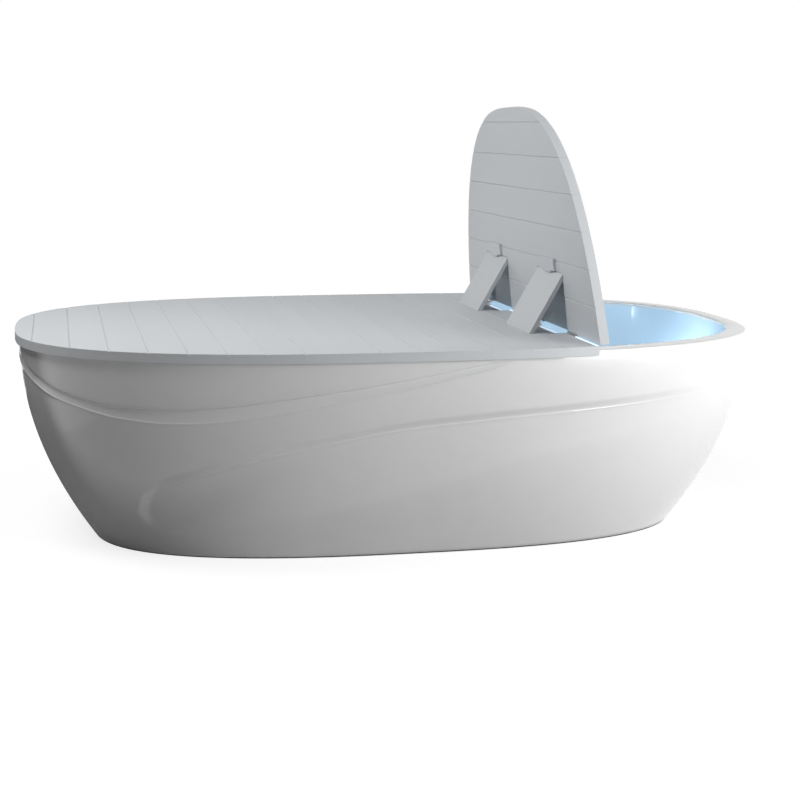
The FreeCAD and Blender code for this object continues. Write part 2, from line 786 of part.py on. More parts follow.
def outer_shell():
    """Glossy outer shell with its flat rolled rim, and the space inside it for the brackets."""
    outside = shell_bowl("shell_outside", sizes.shell_bottom, sizes.rim_height, lip=sizes.rim_round)
    inside = shell_bowl(
        "shell_inside", sizes.shell_bottom - sizes.cut_past, value(RIM_UNDERSIDE), grow=-sizes.shell_wall
    )
    mouth = oval_slab(
        "rim_mouth", MOUTH_LENGTH, MOUTH_BREADTH, RIM_UNDERSIDE + " - cut_past", "rim_height + cut_past"
    )
    hollow = cut("shell_hollow", outside, inside)
    open_shell = cut("shell_open", hollow, mouth)
    piece(cut("shell_notched", open_shell, service_notch()), "outer_shell")
    return inside


def liner(holes):
    """The liner: walls and floor with a flange bonded under the rim."""
    outside = liner_bowl(
        "liner_outside",
        sizes.floor_height - sizes.liner_wall,
        value(RIM_UNDERSIDE),
        grow=sizes.liner_wall,
        corner=sizes.liner_corner + sizes.liner_wall,
    )
    flange = oval_slab(
        "liner_flange",
        MOUTH_LENGTH + " + flange_width",
        MOUTH_BREADTH + " + flange_width",
        FLANGE_BOTTOM,
        RIM_UNDERSIDE,
    )
    inside = liner_bowl(
        "liner_inside", sizes.floor_height, value(RIM_UNDERSIDE), corner=sizes.liner_corner
    )
    body = cut("liner_hollow", join("liner_walls", outside, flange), inside)
    piece(cut("liner_drilled", body, *holes), "liner")


def insulation(holes):
    """Foam band round the liner, foam board under it and the heating mat between board and floor."""
    foam_inside = liner_bowl(
        "foam_inside",
        sizes.wall_foam_bottom - sizes.cut_past,
        sizes.wall_foam_top + sizes.cut_past,
        grow=sizes.liner_wall + sizes.bond_gap,
    )
    foam_outside = liner_bowl(
        "foam_outside",
        sizes.wall_foam_bottom,
        sizes.wall_foam_top,
        grow=sizes.liner_wall + sizes.bond_gap + sizes.wall_foam,
    )
    band = cut("wall_foam_band", foam_outside, foam_inside)
    board = oval_slab(
        "floor_foam_board", "floor_foam_length / 2", "floor_foam_width / 2", FRAME_TOP, FOAM_TOP
    )
    mat = oval_slab(
        "mat_sheet", "mat_length / 2", "mat_width / 2", FOAM_TOP, "floor_height - liner_wall"
    )
    piece(group("foam", [band, cut("floor_foam_drilled", board, *holes)]), "insulation")
    piece(cut("mat_drilled", mat, *holes), "heating_mat")


# ---------------------------------------------------------------- frame and feet

SIDES = {"front": "-", "back": "+"}
LEG_ROWS = {
    "foot_outer": "-leg_pitch_outer / 2",
    "foot_inner": "-leg_pitch_inner / 2",
    "head_inner": "leg_pitch_inner / 2",
    "head_outer": "leg_pitch_outer / 2",
}


def side_rail(side, sign):
    """Square tube along the tank."""
    row = "%s rail_spacing / 2" % sign
    outside = block(side + "_rail_outside", "rail_length", "tube_size", "tube_size", "0", row, RAIL_BOTTOM)
    inside = block(
        side + "_rail_inside",
        "rail_length + 2 * cut_past",
        "tube_size - 2 * tube_wall",
        "tube_size - 2 * tube_wall",
        "0",
        row,
        RAIL_BOTTOM + " + tube_wall",
    )
    return cut(side + "_rail", outside, inside)


def crossmember(name, x):
    """Square tube between the side rails."""
    outside = block(
        name + "_cross_outside", "tube_size", "2 * " + RAIL_INSIDE, "tube_size", x, "0", RAIL_BOTTOM
    )
    inside = block(
        name + "_cross_inside",
        "tube_size - 2 * tube_wall",
        "2 * %s + 2 * cut_past" % RAIL_INSIDE,
        "tube_size - 2 * tube_wall",
        x,
        "0",
        RAIL_BOTTOM + " + tube_wall",
    )
    return cut(name + "_crossmember", outside, inside)


def leg(name, x, y):
    """Square tube leg with an end plate drilled for its foot."""
    outside = block(
        name + "_leg_outside", "tube_size", "tube_size", RAIL_BOTTOM + " - leg_bottom", x, y, "leg_bottom"
    )
    inside = block(
        name + "_leg_inside",
        "tube_size - 2 * tube_wall",
        "tube_size - 2 * tube_wall",
        RAIL_BOTTOM + " - leg_bottom",
        x,
        y,
        "leg_bottom + foot_plate",
    )
    drilling = rod(
        name + "_leg_hole", "stud_radius", "foot_plate + 2 * cut_past", x, y, "leg_bottom - cut_past"
    )
    return cut(name + "_leg", outside, inside, drilling)


def levelling_foot(name, x, y):
    """Round pad with its threaded stud."""
    pad = rod(name + "_pad", "foot_radius", "foot_height", x, y, "0")
    stud = rod(name + "_stud", "stud_radius", "foot_height + stud_length", x, y, "0")
    return join(name + "_foot", pad, stud)


def shell_bracket(name, x, sign, room):
    """Flat bar welded to a leg and bonded to the shell wall."""
    near = "rail_spacing / 2 + tube_size / 2"
    if sign == "-":
        span = ("-%s" % RIM_BREADTH, "-(%s)" % near)
    else:
        span = (near, RIM_BREADTH)
    bar = slab(
        name + "_bar",
        "%s - bracket_width / 2" % x,
        "%s + bracket_width / 2" % x,
        *span,
        RAIL_BOTTOM + " - bracket_width",
        RAIL_BOTTOM + " - bracket_width + bracket_thickness",
    )
    return overlap(name + "_bracket", bar, room)


def frame(room):
    """Welded frame and legs with their shell bars, the levelling feet and the equipment tray."""
    beams = [side_rail(side, sign) for side, sign in SIDES.items()]
    beams += [crossmember(name, x) for name, x in LEG_ROWS.items()]
    legs, feet = [], []
    for side, sign in SIDES.items():
        y = "%s rail_spacing / 2" % sign
        for name, x in LEG_ROWS.items():
            station = "%s_%s" % (side, name)
            legs.append(leg(station, x, y))
            feet.append(levelling_foot(station, x, y))
            legs.append(shell_bracket(station, x, sign, room))
    piece(group("frame_tubes", beams), "frame_beams")
    piece(group("leg_set", legs), "frame_legs")
    piece(group("foot_set", feet), "levelling_feet")
    tray = slab(
        "tray_sheet",
        "tray_start",
        "tray_finish",
        "-" + RAIL_INSIDE,
        RAIL_INSIDE,
        "tray_height",
        TRAY_TOP,
    )
    piece(tray, "equipment_tray")


# ---------------------------------------------------------------- pump, filter, pipes and controls


def pump():
    """Circulation pump: a volute with its rotor, and a foot-mounted motor."""
    at = ("pump_row", "pump_axis_height")
    volute = rod("volute_body", "volute_radius", "volute_length", "volute_place", *at, "X")
    port = rod(
        "volute_port",
        PORT_RADIUS,
        "volute_radius + port_length",
        DISCHARGE_PLACE,
        *at,
        "Y",
    )
    cavity = rod(
        "volute_cavity",
        CAVITY_RADIUS,
        "volute_length - 2 * volute_wall",
        "volute_place + volute_wall",
        *at,
        "X",
    )
    inlet = rod("volute_inlet", PIPE_BORE, "volute_wall + 2 * cut_past", "volute_place - cut_past", *at, "X")
    outlet = rod(
        "volute_outlet", PIPE_BORE, "volute_radius + port_length + cut_past", DISCHARGE_PLACE, *at, "Y"
    )
    shaft_hole = rod(
        "volute_shaft_hole",
        "shaft_radius + running_gap",
        "volute_wall + 2 * cut_past",
        VOLUTE_END + " - volute_wall - cut_past",
        *at,
        "X",
    )
    housing = join("volute", volute, port)
    piece(cut("volute_bored", housing, cavity, inlet, outlet, shaft_hole), "pump_housing")

    barrel = rod("motor_barrel", "motor_radius", "motor_length", VOLUTE_END, *at, "X")
    foot = block(
        "motor_foot",
        "pump_foot_length",
        "pump_foot_width",
        "pump_axis_height - (%s)" % TRAY_TOP,
        "(%s + %s) / 2" % (VOLUTE_END, MOTOR_END),
        "pump_row",
        TRAY_TOP,
    )
    bearing = rod(
        "motor_bearing", "shaft_radius + running_gap", "shaft_bite", VOLUTE_END, *at, "X"
    )
    piece(cut("motor", join("motor_body", barrel, foot), bearing), "pump_motor")

    disc_place = "(%s - volute_wall - impeller_gap - impeller_disc)" % VOLUTE_END
    disc = rod(
        "impeller_disc_body", CAVITY_RADIUS + " - impeller_gap", "impeller_disc", disc_place, *at, "X"
    )
    shaft = rod(
        "rotor_shaft",
        "shaft_radius",
        "%s + shaft_bite - shaft_end_gap - (%s - vane_height)" % (VOLUTE_END, disc_place),
        "%s - vane_height" % disc_place,
        *at,
        "X",
    )
    vanes = []
    for index in range(sizes.vane_count):
        vane = doc.addObject("Part::Box", "vane_%d" % (index + 1))
        bind(
            vane,
            Length="vane_height + impeller_disc / 2",
            Width="vane_thickness",
            Height=CAVITY_RADIUS + " - impeller_gap",
        )
        place(
            vane,
            "%s - vane_height" % disc_place,
            *at,
            "%d * 360 / vane_count" % index,
            "1; 0; 0",
        )
        vanes.append(vane)
    piece(join("rotor", disc, shaft, *vanes), "pump_rotor")


def filter_canister():
    """Filter canister on two saddles, with its cap collar and two ports, and the cartridge inside."""
    at = ("filter_row", "pump_axis_height")
    canister = rod("canister_body", "filter_radius", "filter_length", "filter_place", *at, "X")
    collar = rod(
        "canister_collar",
        "filter_radius + filter_collar",
        "filter_collar_length",
        "filter_place",
        *at,
        "X",
    )
    inlet = rod(
        "canister_inlet",
        PORT_RADIUS,
        "filter_radius + port_length",
        DISCHARGE_PLACE,
        FILTER_PORT_START,
        "pump_axis_height",
        "Y",
    )
    outlet = rod("canister_outlet", PORT_RADIUS, "port_length", FILTER_END, *at, "X")
    saddles = [
        block(
            "saddle_" + end,
            "saddle_length",
            "saddle_width",
            "pump_axis_height - (%s)" % TRAY_TOP,
            x,
            "filter_row",
            TRAY_TOP,
        )
        for end, x in (
            ("foot", "filter_place + filter_collar_length + saddle_length"),
            ("head", FILTER_END + " - saddle_length"),
        )
    ]
    room_start = "filter_place + canister_wall"
    room_length = "filter_length - 2 * canister_wall"
    room = rod("canister_room", "filter_radius - canister_wall", room_length, room_start, *at, "X")
    inlet_bore = rod(
        "canister_inlet_bore",
        PIPE_BORE,
        "filter_radius + port_length + cut_past - cartridge_radius",
        DISCHARGE_PLACE,
        FILTER_PORT_START + " - cut_past",
        "pump_axis_height",
        "Y",
    )
    outlet_bore = rod(
        "canister_outlet_bore",
        PIPE_BORE,
        "canister_wall + port_length + 2 * cut_past",
        FILTER_END + " - canister_wall - cut_past",
        *at,
        "X",
    )
    housing = join("canister", canister, collar, inlet, outlet, *saddles)
    piece(cut("canister_bored", housing, room, inlet_bore, outlet_bore), "filter_canister")
    media = rod("cartridge_media", "cartridge_radius", room_length, room_start, *at, "X")
    core = rod(
        "cartridge_core",
        PIPE_BORE,
        room_length + " + 2 * cut_past",
        room_start + " - cut_past",
        *at,
        "X",
    )
    piece(cut("cartridge", media, core), "filter_cartridge")


def tube_along(label, points):
    """Pipe that follows straight runs with a bend of one radius at each corner."""
    bend = sizes.pipe_bend
    edges = []
    start = points[0]
    for before, corner, after in zip(points, points[1:], points[2:]):
        toward = (corner - before).normalize()
        away = (after - corner).normalize()
        entry = corner - toward * bend
        leave = corner + away * bend
        middle = corner + (away - toward) * (bend * (1 - math.sqrt(0.5)))
        edges.append(Part.LineSegment(start, entry).toShape())
        edges.append(Part.Arc(entry, middle, leave).toShape())
        start = leave
    edges.append(Part.LineSegment(start, points[-1]).toShape())
    path = Part.Wire(edges)
    solids = []
    for radius in (sizes.pipe_radius, value(PIPE_BORE)):
        ring = Part.Wire([Part.makeCircle(radius, points[0], points[1] - points[0])])
        solids.append(path.makePipeShell([ring], True, False))
    thing = doc.addObject("Part::Feature", label)
    thing.Shape = solids[0].cut(solids[1])
    return thing


def point(x, y, z):
    """A place from three expressions."""
    return FreeCAD.Vector(value(x), value(y), value(z))


def pipes():
    """Suction, transfer and return pipes of the circulation loop, and the drain pipe."""
    height = "pump_axis_height"
    suction = tube_along(
        "suction_pipe",
        [
            point("volute_place", "pump_row", height),
            point("suction_place", "pump_row", height),
            point("suction_place", "pump_row", FITTING_END),
        ],
    )
    transfer = tube_along(
        "transfer_pipe",
        [
            point(DISCHARGE_PLACE, PUMP_PORT_END, height),
            point(DISCHARGE_PLACE, FILTER_PORT_START, height),
        ],
    )
    back = tube_along(
        "return_pipe",
        [
            point(FILTER_END + " + port_length", "filter_row", height),
            point("return_place", "filter_row", height),
            point("return_place", "filter_row", FITTING_END),
        ],
    )
    drain = tube_along(
        "drain_run",
        [
            point("notch_place", "0", FITTING_END),
            point("notch_place", "0", "drain_drop_height"),
            point("notch_place", "drain_run_end", "drain_drop_height"),
        ],
    )
    piece(group("pipe_set", [suction, transfer, back, drain]), "water_pipes")


def drain_valve():
    """Ball valve with a hose spigot, behind the service notch, shut by the ball on its handle stem."""
    middle = ("notch_place", VALVE_MIDDLE, "drain_drop_height")
    start = ("notch_place", "drain_run_end", "drain_drop_height")
    body = rod("valve_barrel", "valve_radius", "valve_length", *start, "Y")
    spigot = rod("valve_spigot", "pipe_radius", "valve_length + spigot_length", *start, "Y")
    bore = rod(
        "valve_bore",
        PIPE_BORE,
        "valve_length + spigot_length + 2 * cut_past",
        "notch_place",
        "drain_run_end - cut_past",
        "drain_drop_height",
        "Y",
    )
    stem_hole = rod(
        "valve_stem_hole",
        "valve_stem_radius + running_gap",
        "valve_radius + cut_past",
        *middle,
    )
    seat = ball("valve_seat", "ball_radius + ball_gap", *middle)
    piece(cut("valve", join("valve_body", body, spigot), bore, seat, stem_hole), "drain_valve")
    closer = ball("valve_ball", "ball_radius", *middle)
    stem = rod("handle_stem", "valve_stem_radius", HANDLE_BOTTOM + " - drain_drop_height", *middle)
    waterway = rod(
        "ball_waterway",
        PIPE_BORE,
        "2 * (ball_radius + cut_past)",
        "notch_place - ball_radius - cut_past",
        VALVE_MIDDLE,
        "drain_drop_height",
        "X",
    )
    bored_ball = cut("ball_bored", join("ball_and_stem", closer, stem), waterway)
    hub = rod(
        "handle_hub", "handle_width / 2", "handle_thickness", "notch_place", VALVE_MIDDLE, HANDLE_BOTTOM
    )
    lever = slab(
        "handle_lever",
        "notch_place - handle_length",
        "notch_place",
        VALVE_MIDDLE + " - handle_width / 2",
        VALVE_MIDDLE + " + handle_width / 2",
        HANDLE_BOTTOM,
        HANDLE_BOTTOM + " + handle_thickness",
    )
    piece(join("handle", bored_ball, hub, lever), "valve_handle")


def controls():
    """Control box on the tray with its board, and the gland that takes the power cord."""
    middle = "box_place + box_length / 2"
    outside = block("box_outside", "box_length", "box_width", "box_height", middle, "0", TRAY_TOP)
    inside = block(
        "box_inside",
        "box_length - 2 * box_wall",
        "box_width - 2 * box_wall",
        "box_height - 2 * box_wall",
        middle,
        "0",
        TRAY_TOP + " + box_wall",
    )
    gland_height = TRAY_TOP + " + box_height / 2"
    gland = rod("gland_body", "gland_radius", "gland_length", middle, "box_width / 2", gland_height, "Y")
    bore = rod(
        "gland_hole",
        "gland_bore",
        "box_wall + gland_length + 2 * cut_past",
        middle,
        "box_width / 2 - box_wall - cut_past",
        gland_height,
        "Y",
    )
    piece(cut("box", outside, inside, bore), "control_box")
    piece(cut("gland", gland, bore), "power_gland")
    board_height = TRAY_TOP + " + box_wall + standoff_height"
    board = block(
        "circuit_sheet", "circuit_length", "circuit_width", "circuit_thickness", middle, "0", board_height
    )
    transformer = block(
        "transformer",
        "transformer_length",
        "transformer_width",
        "transformer_height",
        middle,
        "0",
        board_height + " + circuit_thickness",
    )
    standoffs = [
        rod(
            "standoff_%s_%s" % (end, side),
            "standoff_radius",
            "standoff_height",
            "%s %s (circuit_length / 2 - standoff_inset)" % (middle, lengthways),
            "%s (circuit_width / 2 - standoff_inset)" % sign,
            TRAY_TOP + " + box_wall",
        )
        for end, lengthways in (("foot", "-"), ("head", "+"))
        for side, sign in SIDES.items()
    ]
    piece(join("circuit", board, transformer, *standoffs), "control_board")


# ---------------------------------------------------------------- slatted cover and head panel


def mouth_reach_at(row):
    """How far along the tank the boards' plug reaches at a distance from the centre line."""
    setback = sizes.lip_clearance + sizes.screw_head_radius * 2
    half_length = value(MOUTH_LENGTH) - setback
    half_breadth = value(MOUTH_BREADTH) - setback
    share = max(0.0, 1 - (abs(row) / half_breadth) ** sizes.outline_power)
    return half_length * share ** (1 / sizes.outline_power)


def board_edges(start, count, sign):
    """Expressions for the joints between boards, counted from the fold."""
    return ["(%s %s %d * slat_pitch)" % (start, sign, index) for index in range(count + 1)]


def groove(label, x):
    """Square bar on edge whose lower half cuts a V along a board joint."""
    bar = doc.addObject("Part::Box", label)
    side = "groove_depth * sqrt(2)"
    bind(bar, Length=side, Width="cover_width + 2 * cut_past", Height=side)
    place(bar, "%s - groove_depth" % x, "-cover_width / 2 - cut_past", "cover_top", "45", "0; 1; 0")
    return bar


def screw(label, x, y):
    """Pan-head screw up through a batten into a board, and its shank alone."""
    shank = rod(
        label + "_shank", "screw_radius", "batten_height + screw_bite", x, y, BATTEN_BOTTOM
    )
    head = rod(
        label + "_head",
        "screw_head_radius",
        "screw_head_height",
        x,
        y,
        BATTEN_BOTTOM + " - screw_head_height",
    )
    return join(label, shank, head), shank


def batten_rows(spacing, count):
    """Expressions for rows spread evenly across the tank."""
    return ["(%s * (%g))" % (spacing, index - (count - 1) / 2) for index in range(count)]


def screws_for(name, edges, rows):
    """A screw where each batten crosses the middle of a board."""
    screws, shanks = [], []
    for board, (near, far) in enumerate(zip(edges, edges[1:]), start=1):
        middle = "((%s + %s) / 2)" % (near, far)
        for row_number, row in enumerate(rows, start=1):
            edge_row = abs(value(row)) + sizes.batten_width / 2
            if abs(value(middle)) < mouth_reach_at(edge_row):
                made, shank = screw("%s_screw_%d_%d" % (name, board, row_number), middle, row)
                screws.append(made)
                shanks.append(shank)
    return screws, shanks


def battens(name, near, far, rows, shanks, plug):
    """Long battens under the boards, their ends cut to the mouth of the tank."""
    bars = []
    for number, row in enumerate(rows, start=1):
        bar = slab(
            "%s_batten_bar_%d" % (name, number),
            near,
            far,
            "%s - batten_width / 2" % row,
            "%s + batten_width / 2" % row,
            BATTEN_BOTTOM,
            BOARD_BOTTOM,
        )
        bars.append(overlap("%s_batten_trimmed_%d" % (name, number), bar, plug))
    return cut(name + "_batten_set", group(name + "_batten_bars", bars), *shanks)


def stay_pockets():
    """Pockets in the flat cover and in the head panel that take the two stays."""
    width = "stay_width + 2 * notch_gap"
    tools = []
    for side, sign in SIDES.items():
        row = "(%s stay_spacing / 2)" % sign
        rows = ("%s - (%s) / 2" % (row, width), "%s + (%s) / 2" % (row, width))
        tools.append(
            slab(
                side + "_cover_pocket",
                "fold_place - " + POCKET_REACH,
                "fold_place",
                *rows,
                "cover_top - " + COVER_POCKET_DEPTH,
                "cover_top + cut_past",
            )
        )
        tools.append(
            slab(
                side + "_panel_pocket",
                "fold_place",
                "fold_place + " + PANEL_POCKET_REACH,
                *rows,
                "cover_top - " + PANEL_POCKET_DEPTH,
                "cover_top + cut_past",
            )
        )
    return tools


HINGE_ROWS = {"front": "(-hinge_spacing)", "middle": "(0)", "back": "(hinge_spacing)"}


def hinge_notches():
    """Room for the fold hinge knuckles in both edges of the fold."""
    return [
        slab(
            name + "_hinge_notch",
            "fold_place - hinge_radius - notch_gap",
            "fold_place + hinge_radius + notch_gap",
            "%s - hinge_width / 2 - notch_gap" % row,
            "%s + hinge_width / 2 + notch_gap" % row,
            "cover_top - hinge_radius - notch_gap",
            "cover_top + cut_past",
        )
        for name, row in HINGE_ROWS.items()
    ]


def fold_hinge(name, row):
    """Edge hinge: the flat cover's leaf with two end knuckles and the pin, and the panel's leaf."""
    end_width = "(hinge_width / 4)"
    middle_width = "(hinge_width / 2 - 2 * knuckle_gap)"
    low = BOARD_BOTTOM + " + leaf_setback"
    tall = "cover_top - hinge_radius / 2"
    short = "cover_top - hinge_radius - knuckle_gap"
    axis = ("fold_place", "cover_top")

    def leaf(label, x0, x1, widths_and_tops):
        return [
            slab(
                "%s_%d" % (label, number),
                x0,
                x1,
                "%s - (%s) / 2 + (%s)" % (row, width, shift),
                "%s + (%s) / 2 + (%s)" % (row, width, shift),
                low,
                top,
            )
            for number, (width, shift, top) in enumerate(widths_and_tops, start=1)
        ]

    shift = "(hinge_width / 2 - %s / 2)" % end_width
    cover_leaf = leaf(
        name + "_cover_leaf",
        FOLD_EDGE,
        FOLD_EDGE + " + leaf_thickness",
        [("hinge_width", "0", short), (end_width, "-" + shift, tall), (end_width, shift, tall)],
    )
    knuckles = [
        cross_rod(
            "%s_end_knuckle_%s" % (name, side),
            "hinge_radius",
            end_width,
            axis[0],
            "%s %s %s" % (row, sign, shift),
            axis[1],
        )
        for side, sign in SIDES.items()
    ]
    pin = cross_rod(name + "_hinge_pin", "hinge_pin_radius", "hinge_width", axis[0], row, axis[1])
    fixed = join(name + "_cover_hinge", *cover_leaf, *knuckles, pin)

    panel_leaf = leaf(
        name + "_panel_leaf",
        PANEL_EDGE + " - leaf_thickness",
        PANEL_EDGE,
        [("hinge_width", "0", short), (middle_width, "0", tall)],
    )
    knuckle = cross_rod(name + "_middle_knuckle", "hinge_radius", middle_width, axis[0], row, axis[1])
    bore = cross_rod(
        name + "_knuckle_bore", "hinge_pin_radius + running_gap", "hinge_width", axis[0], row, axis[1]
    )
    moving = cut(name + "_panel_hinge", join(name + "_panel_hinge_body", *panel_leaf, knuckle), bore)
    return fixed, moving


def stay_block(side, sign):
    """Raised block on the panel face with the knuckle and pin that carry one stay."""
    row = "(%s stay_spacing / 2)" % sign
    pivot = "(fold_place + pivot_place)"
    pocket_end = "(fold_place + %s)" % PANEL_POCKET_REACH
    plate = slab(
        side + "_block_plate",
        pocket_end,
        pocket_end + " + block_length",
        row + " - block_width / 2",
        row + " + block_width / 2",
        "cover_top",
        "cover_top + block_height",
    )
    neck = slab(
        side + "_block_neck",
        pivot,
        pocket_end,
        row + " - knuckle_width / 2",
        row + " + knuckle_width / 2",
        "cover_top - pivot_depth",
        "cover_top + block_height",
    )
    height = "cover_top - pivot_depth"
    knuckle = cross_rod(side + "_block_knuckle", "stay_thickness / 2", "knuckle_width", pivot, row, height)
    pin_width = "stay_width - 2 * pin_setback"
    pin = cross_rod(side + "_block_pin", "block_pin_radius", pin_width, pivot, row, height)
    return join(side + "_stay_block", plate, neck, knuckle, pin)


def prop_stay(side, sign):
    """Flat stay with a round foot, slotted at its pivot; built about the pivot, then stood open."""
    plate = slab(
        side + "_stay_plate",
        "-" + STAY_REACH,
        "0",
        "-stay_width / 2",
        "stay_width / 2",
        "-stay_thickness / 2",
        "stay_thickness / 2",
    )
    foot = cross_rod(side + "_stay_foot", "stay_thickness / 2", "stay_width", "-" + STAY_REACH, "0", "0")
    barrel = cross_rod(side + "_stay_barrel", "stay_thickness / 2", "stay_width", "0", "0", "0")
    slot = slab(
        side + "_stay_slot",
        "-stay_thickness / 2 - notch_gap",
        "stay_thickness / 2 + notch_gap",
        "-knuckle_width / 2 - notch_gap",
        "knuckle_width / 2 + notch_gap",
        "-stay_thickness",
        "stay_thickness",
    )
    centre = ("0", "0", "0")
    bore_width = "stay_width + 2 * cut_past"
    bore = cross_rod(side + "_stay_bore", "block_pin_radius + running_gap", bore_width, *centre)
    stay = cut(side + "_stay", join(side + "_stay_body", plate, foot, barrel), slot, bore)
    place(
        stay,
        "fold_place - " + PIVOT_FORWARD,
        "%s stay_spacing / 2" % sign,
        "cover_top + " + PIVOT_RISE,
        "-" + STAY_SLOPE,
        "0; 1; 0",
    )
    piece(stay, "prop_stay_" + side)


def cover():
    """Boards, battens, screws and hinges of the flat cover and of the head panel."""
    cover_edges = board_edges(FOLD_EDGE, int(sizes.cover_boards), "-")
    panel_edges = board_edges(PANEL_EDGE, int(sizes.panel_boards), "+")
    cover_rows = batten_rows("batten_spacing", 3)
    panel_rows = batten_rows("panel_batten_spacing", 2)
    cover_screws, cover_shanks = screws_for("cover", cover_edges, cover_rows)
    panel_screws, panel_shanks = screws_for("panel", panel_edges, panel_rows)

    blank = oval_slab("cover_blank", "cover_length / 2", "cover_width / 2", BOARD_BOTTOM, "cover_top")
    channel_outside = oval_slab(
        "channel_outside",
        RIM_LENGTH + " + lip_clearance",
        RIM_BREADTH + " + lip_clearance",
        BOARD_BOTTOM + " - cut_past",
        "rim_height",
    )
    channel_inside = oval_slab(
        "channel_inside",
        MOUTH_LENGTH + " - lip_clearance",
        MOUTH_BREADTH + " - lip_clearance",
        BOARD_BOTTOM + " - 2 * cut_past",
        "rim_height + cut_past",
    )
    channel = cut("rim_channel", channel_outside, channel_inside)
    channelled = cut("cover_channelled", blank, channel)
    joints = [groove("groove_%d" % number, x) for number, x in enumerate(cover_edges + panel_edges)]
    shaped = cut(
        "cover_shaped",
        channelled,
        *joints,
        *stay_pockets(),
        *hinge_notches(),
        *cover_shanks,
        *panel_shanks,
    )
    plug = oval_slab(
        "batten_plug",
        MOUTH_LENGTH + " - lip_clearance - screw_head_radius",
        MOUTH_BREADTH + " - lip_clearance - screw_head_radius",
        BATTEN_BOTTOM,
        BOARD_BOTTOM,
    )

    boards = len(cover_edges) - 1
    for index, (near, far) in enumerate(zip(cover_edges, cover_edges[1:])):
        number = boards - index
        cell = board_cell("cover_cell_%02d" % number, far, near)
        piece(overlap("cover_board_%02d" % number, shaped, cell), "cover_slat_%02d" % number)
    for number, (near, far) in enumerate(zip(panel_edges, panel_edges[1:]), start=1):
        cell = board_cell("panel_cell_%02d" % number, near, far)
        board = overlap("panel_board_%02d" % number, shaped, cell)
        swing_open(board)
        piece(board, "panel_slat_%02d" % number)

    cover_end = FOLD_EDGE + " - batten_setback"
    panel_end = PANEL_EDGE + " + batten_setback"
    foot_end = "-cover_length / 2"
    head_end = "cover_length / 2"
    piece(battens("cover", foot_end, cover_end, cover_rows, cover_shanks, plug), "cover_battens")
    piece(group("cover_screw_set", cover_screws), "cover_screws")
    panel_battens = battens("panel", panel_end, head_end, panel_rows, panel_shanks, plug)
    panel_screw_set = group("panel_screw_set", panel_screws)
    hinges = [fold_hinge(name, row) for name, row in HINGE_ROWS.items()]
    piece(group("cover_hinge_set", [fixed for fixed, _ in hinges]), "cover_hinge_leaves")
    panel_hinges = group("panel_hinge_set", [moving for _, moving in hinges])
    stay_blocks = group("stay_block_set", [stay_block(side, sign) for side, sign in SIDES.items()])
    for thing, label in (
        (panel_battens, "panel_battens"),
        (panel_screw_set, "panel_screws"),
        (panel_hinges, "panel_hinge_leaves"),
        (stay_blocks, "stay_hinge_blocks"),
    ):
        swing_open(thing)
        piece(thing, label)
    for side, sign in SIDES.items():
        prop_stay(side, sign)


def board_cell(label, x0, x1):
    """The space of one board, past the cover's edges."""
    return slab(
        label,
        x0,
        x1,
        "-cover_width / 2 - cut_past",
        "cover_width / 2 + cut_past",
        BOARD_BOTTOM + " - cut_past",
        "cover_top + cut_past",
    )


# ---------------------------------------------------------------- build, check and write


def build():
    """Make every piece of the tank."""
    room = outer_shell()
    floor_holes = floor_fittings()
    liner(floor_holes + lights() + buttons())
    insulation(floor_holes)
    frame(room)
    pump()
    filter_canister()
    pipes()
    drain_valve()
    controls()
    cover()


def faults():
    """Plain words for each object that failed or holds no sound solid."""
    found = []
    for thing in doc.Objects:
        if "Invalid" in thing.State or "Error" in thing.State:
            found.append("%s is %s" % (thing.Label, ", ".join(thing.State)))
    for thing in pieces:
        shape = thing.Shape
        if shape.isNull() or not shape.isValid() or not shape.Solids:
            found.append("%s has no valid solid" % thing.Label)
    return found


def write():
    """Write each piece to its own STEP file."""
    for thing in pieces:
        thing.Shape.exportStep("parts/%s.step" % thing.Label)
        print("%-22s %2d solid(s) %12.0f mm3" % (thing.Label, len(thing.Shape.Solids), thing.Shape.Volume))


build()
doc.recompute()
problems = faults()
if problems:
    raise SystemExit("not written: " + "; ".join(problems))
write()
print("%d pieces" % len(pieces))
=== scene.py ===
import logging
import math
from collections.abc import Iterable
from dataclasses import dataclass
from enum import Enum

import bmesh
import bpy
import numpy as np
from mathutils import Matrix, Vector


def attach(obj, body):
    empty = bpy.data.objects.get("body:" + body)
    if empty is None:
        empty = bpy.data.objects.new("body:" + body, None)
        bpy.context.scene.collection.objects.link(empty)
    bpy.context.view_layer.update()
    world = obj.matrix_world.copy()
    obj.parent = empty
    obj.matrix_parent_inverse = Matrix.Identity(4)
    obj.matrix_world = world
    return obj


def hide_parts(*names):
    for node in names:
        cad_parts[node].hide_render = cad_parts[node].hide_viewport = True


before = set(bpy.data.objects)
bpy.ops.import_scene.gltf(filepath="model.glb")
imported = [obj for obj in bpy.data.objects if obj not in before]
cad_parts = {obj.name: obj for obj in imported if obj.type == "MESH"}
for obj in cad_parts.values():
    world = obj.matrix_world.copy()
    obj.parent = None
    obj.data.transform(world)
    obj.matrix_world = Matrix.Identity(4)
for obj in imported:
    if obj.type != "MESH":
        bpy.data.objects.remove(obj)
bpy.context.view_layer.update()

LOG = logging.getLogger("flotation_tank")
MM = 0.001
WHITE = "#ffffff"


# ---------------------------------------------------------------- colours and shader nodes


def linear(colour: str) -> tuple[float, float, float, float]:
    """Turn an sRGB hex colour to linear light.

    Args:
        colour: Hex colour such as "#c3c6c9".

    Returns:
        Linear red, green, blue and an alpha of 1.
    """
    parts = [int(colour[place : place + 2], 16) / 255 for place in (1, 3, 5)]
    light = [c / 12.92 if c <= 0.04045 else ((c + 0.055) / 1.055) ** 2.4 for c in parts]
    return (light[0], light[1], light[2], 1.0)


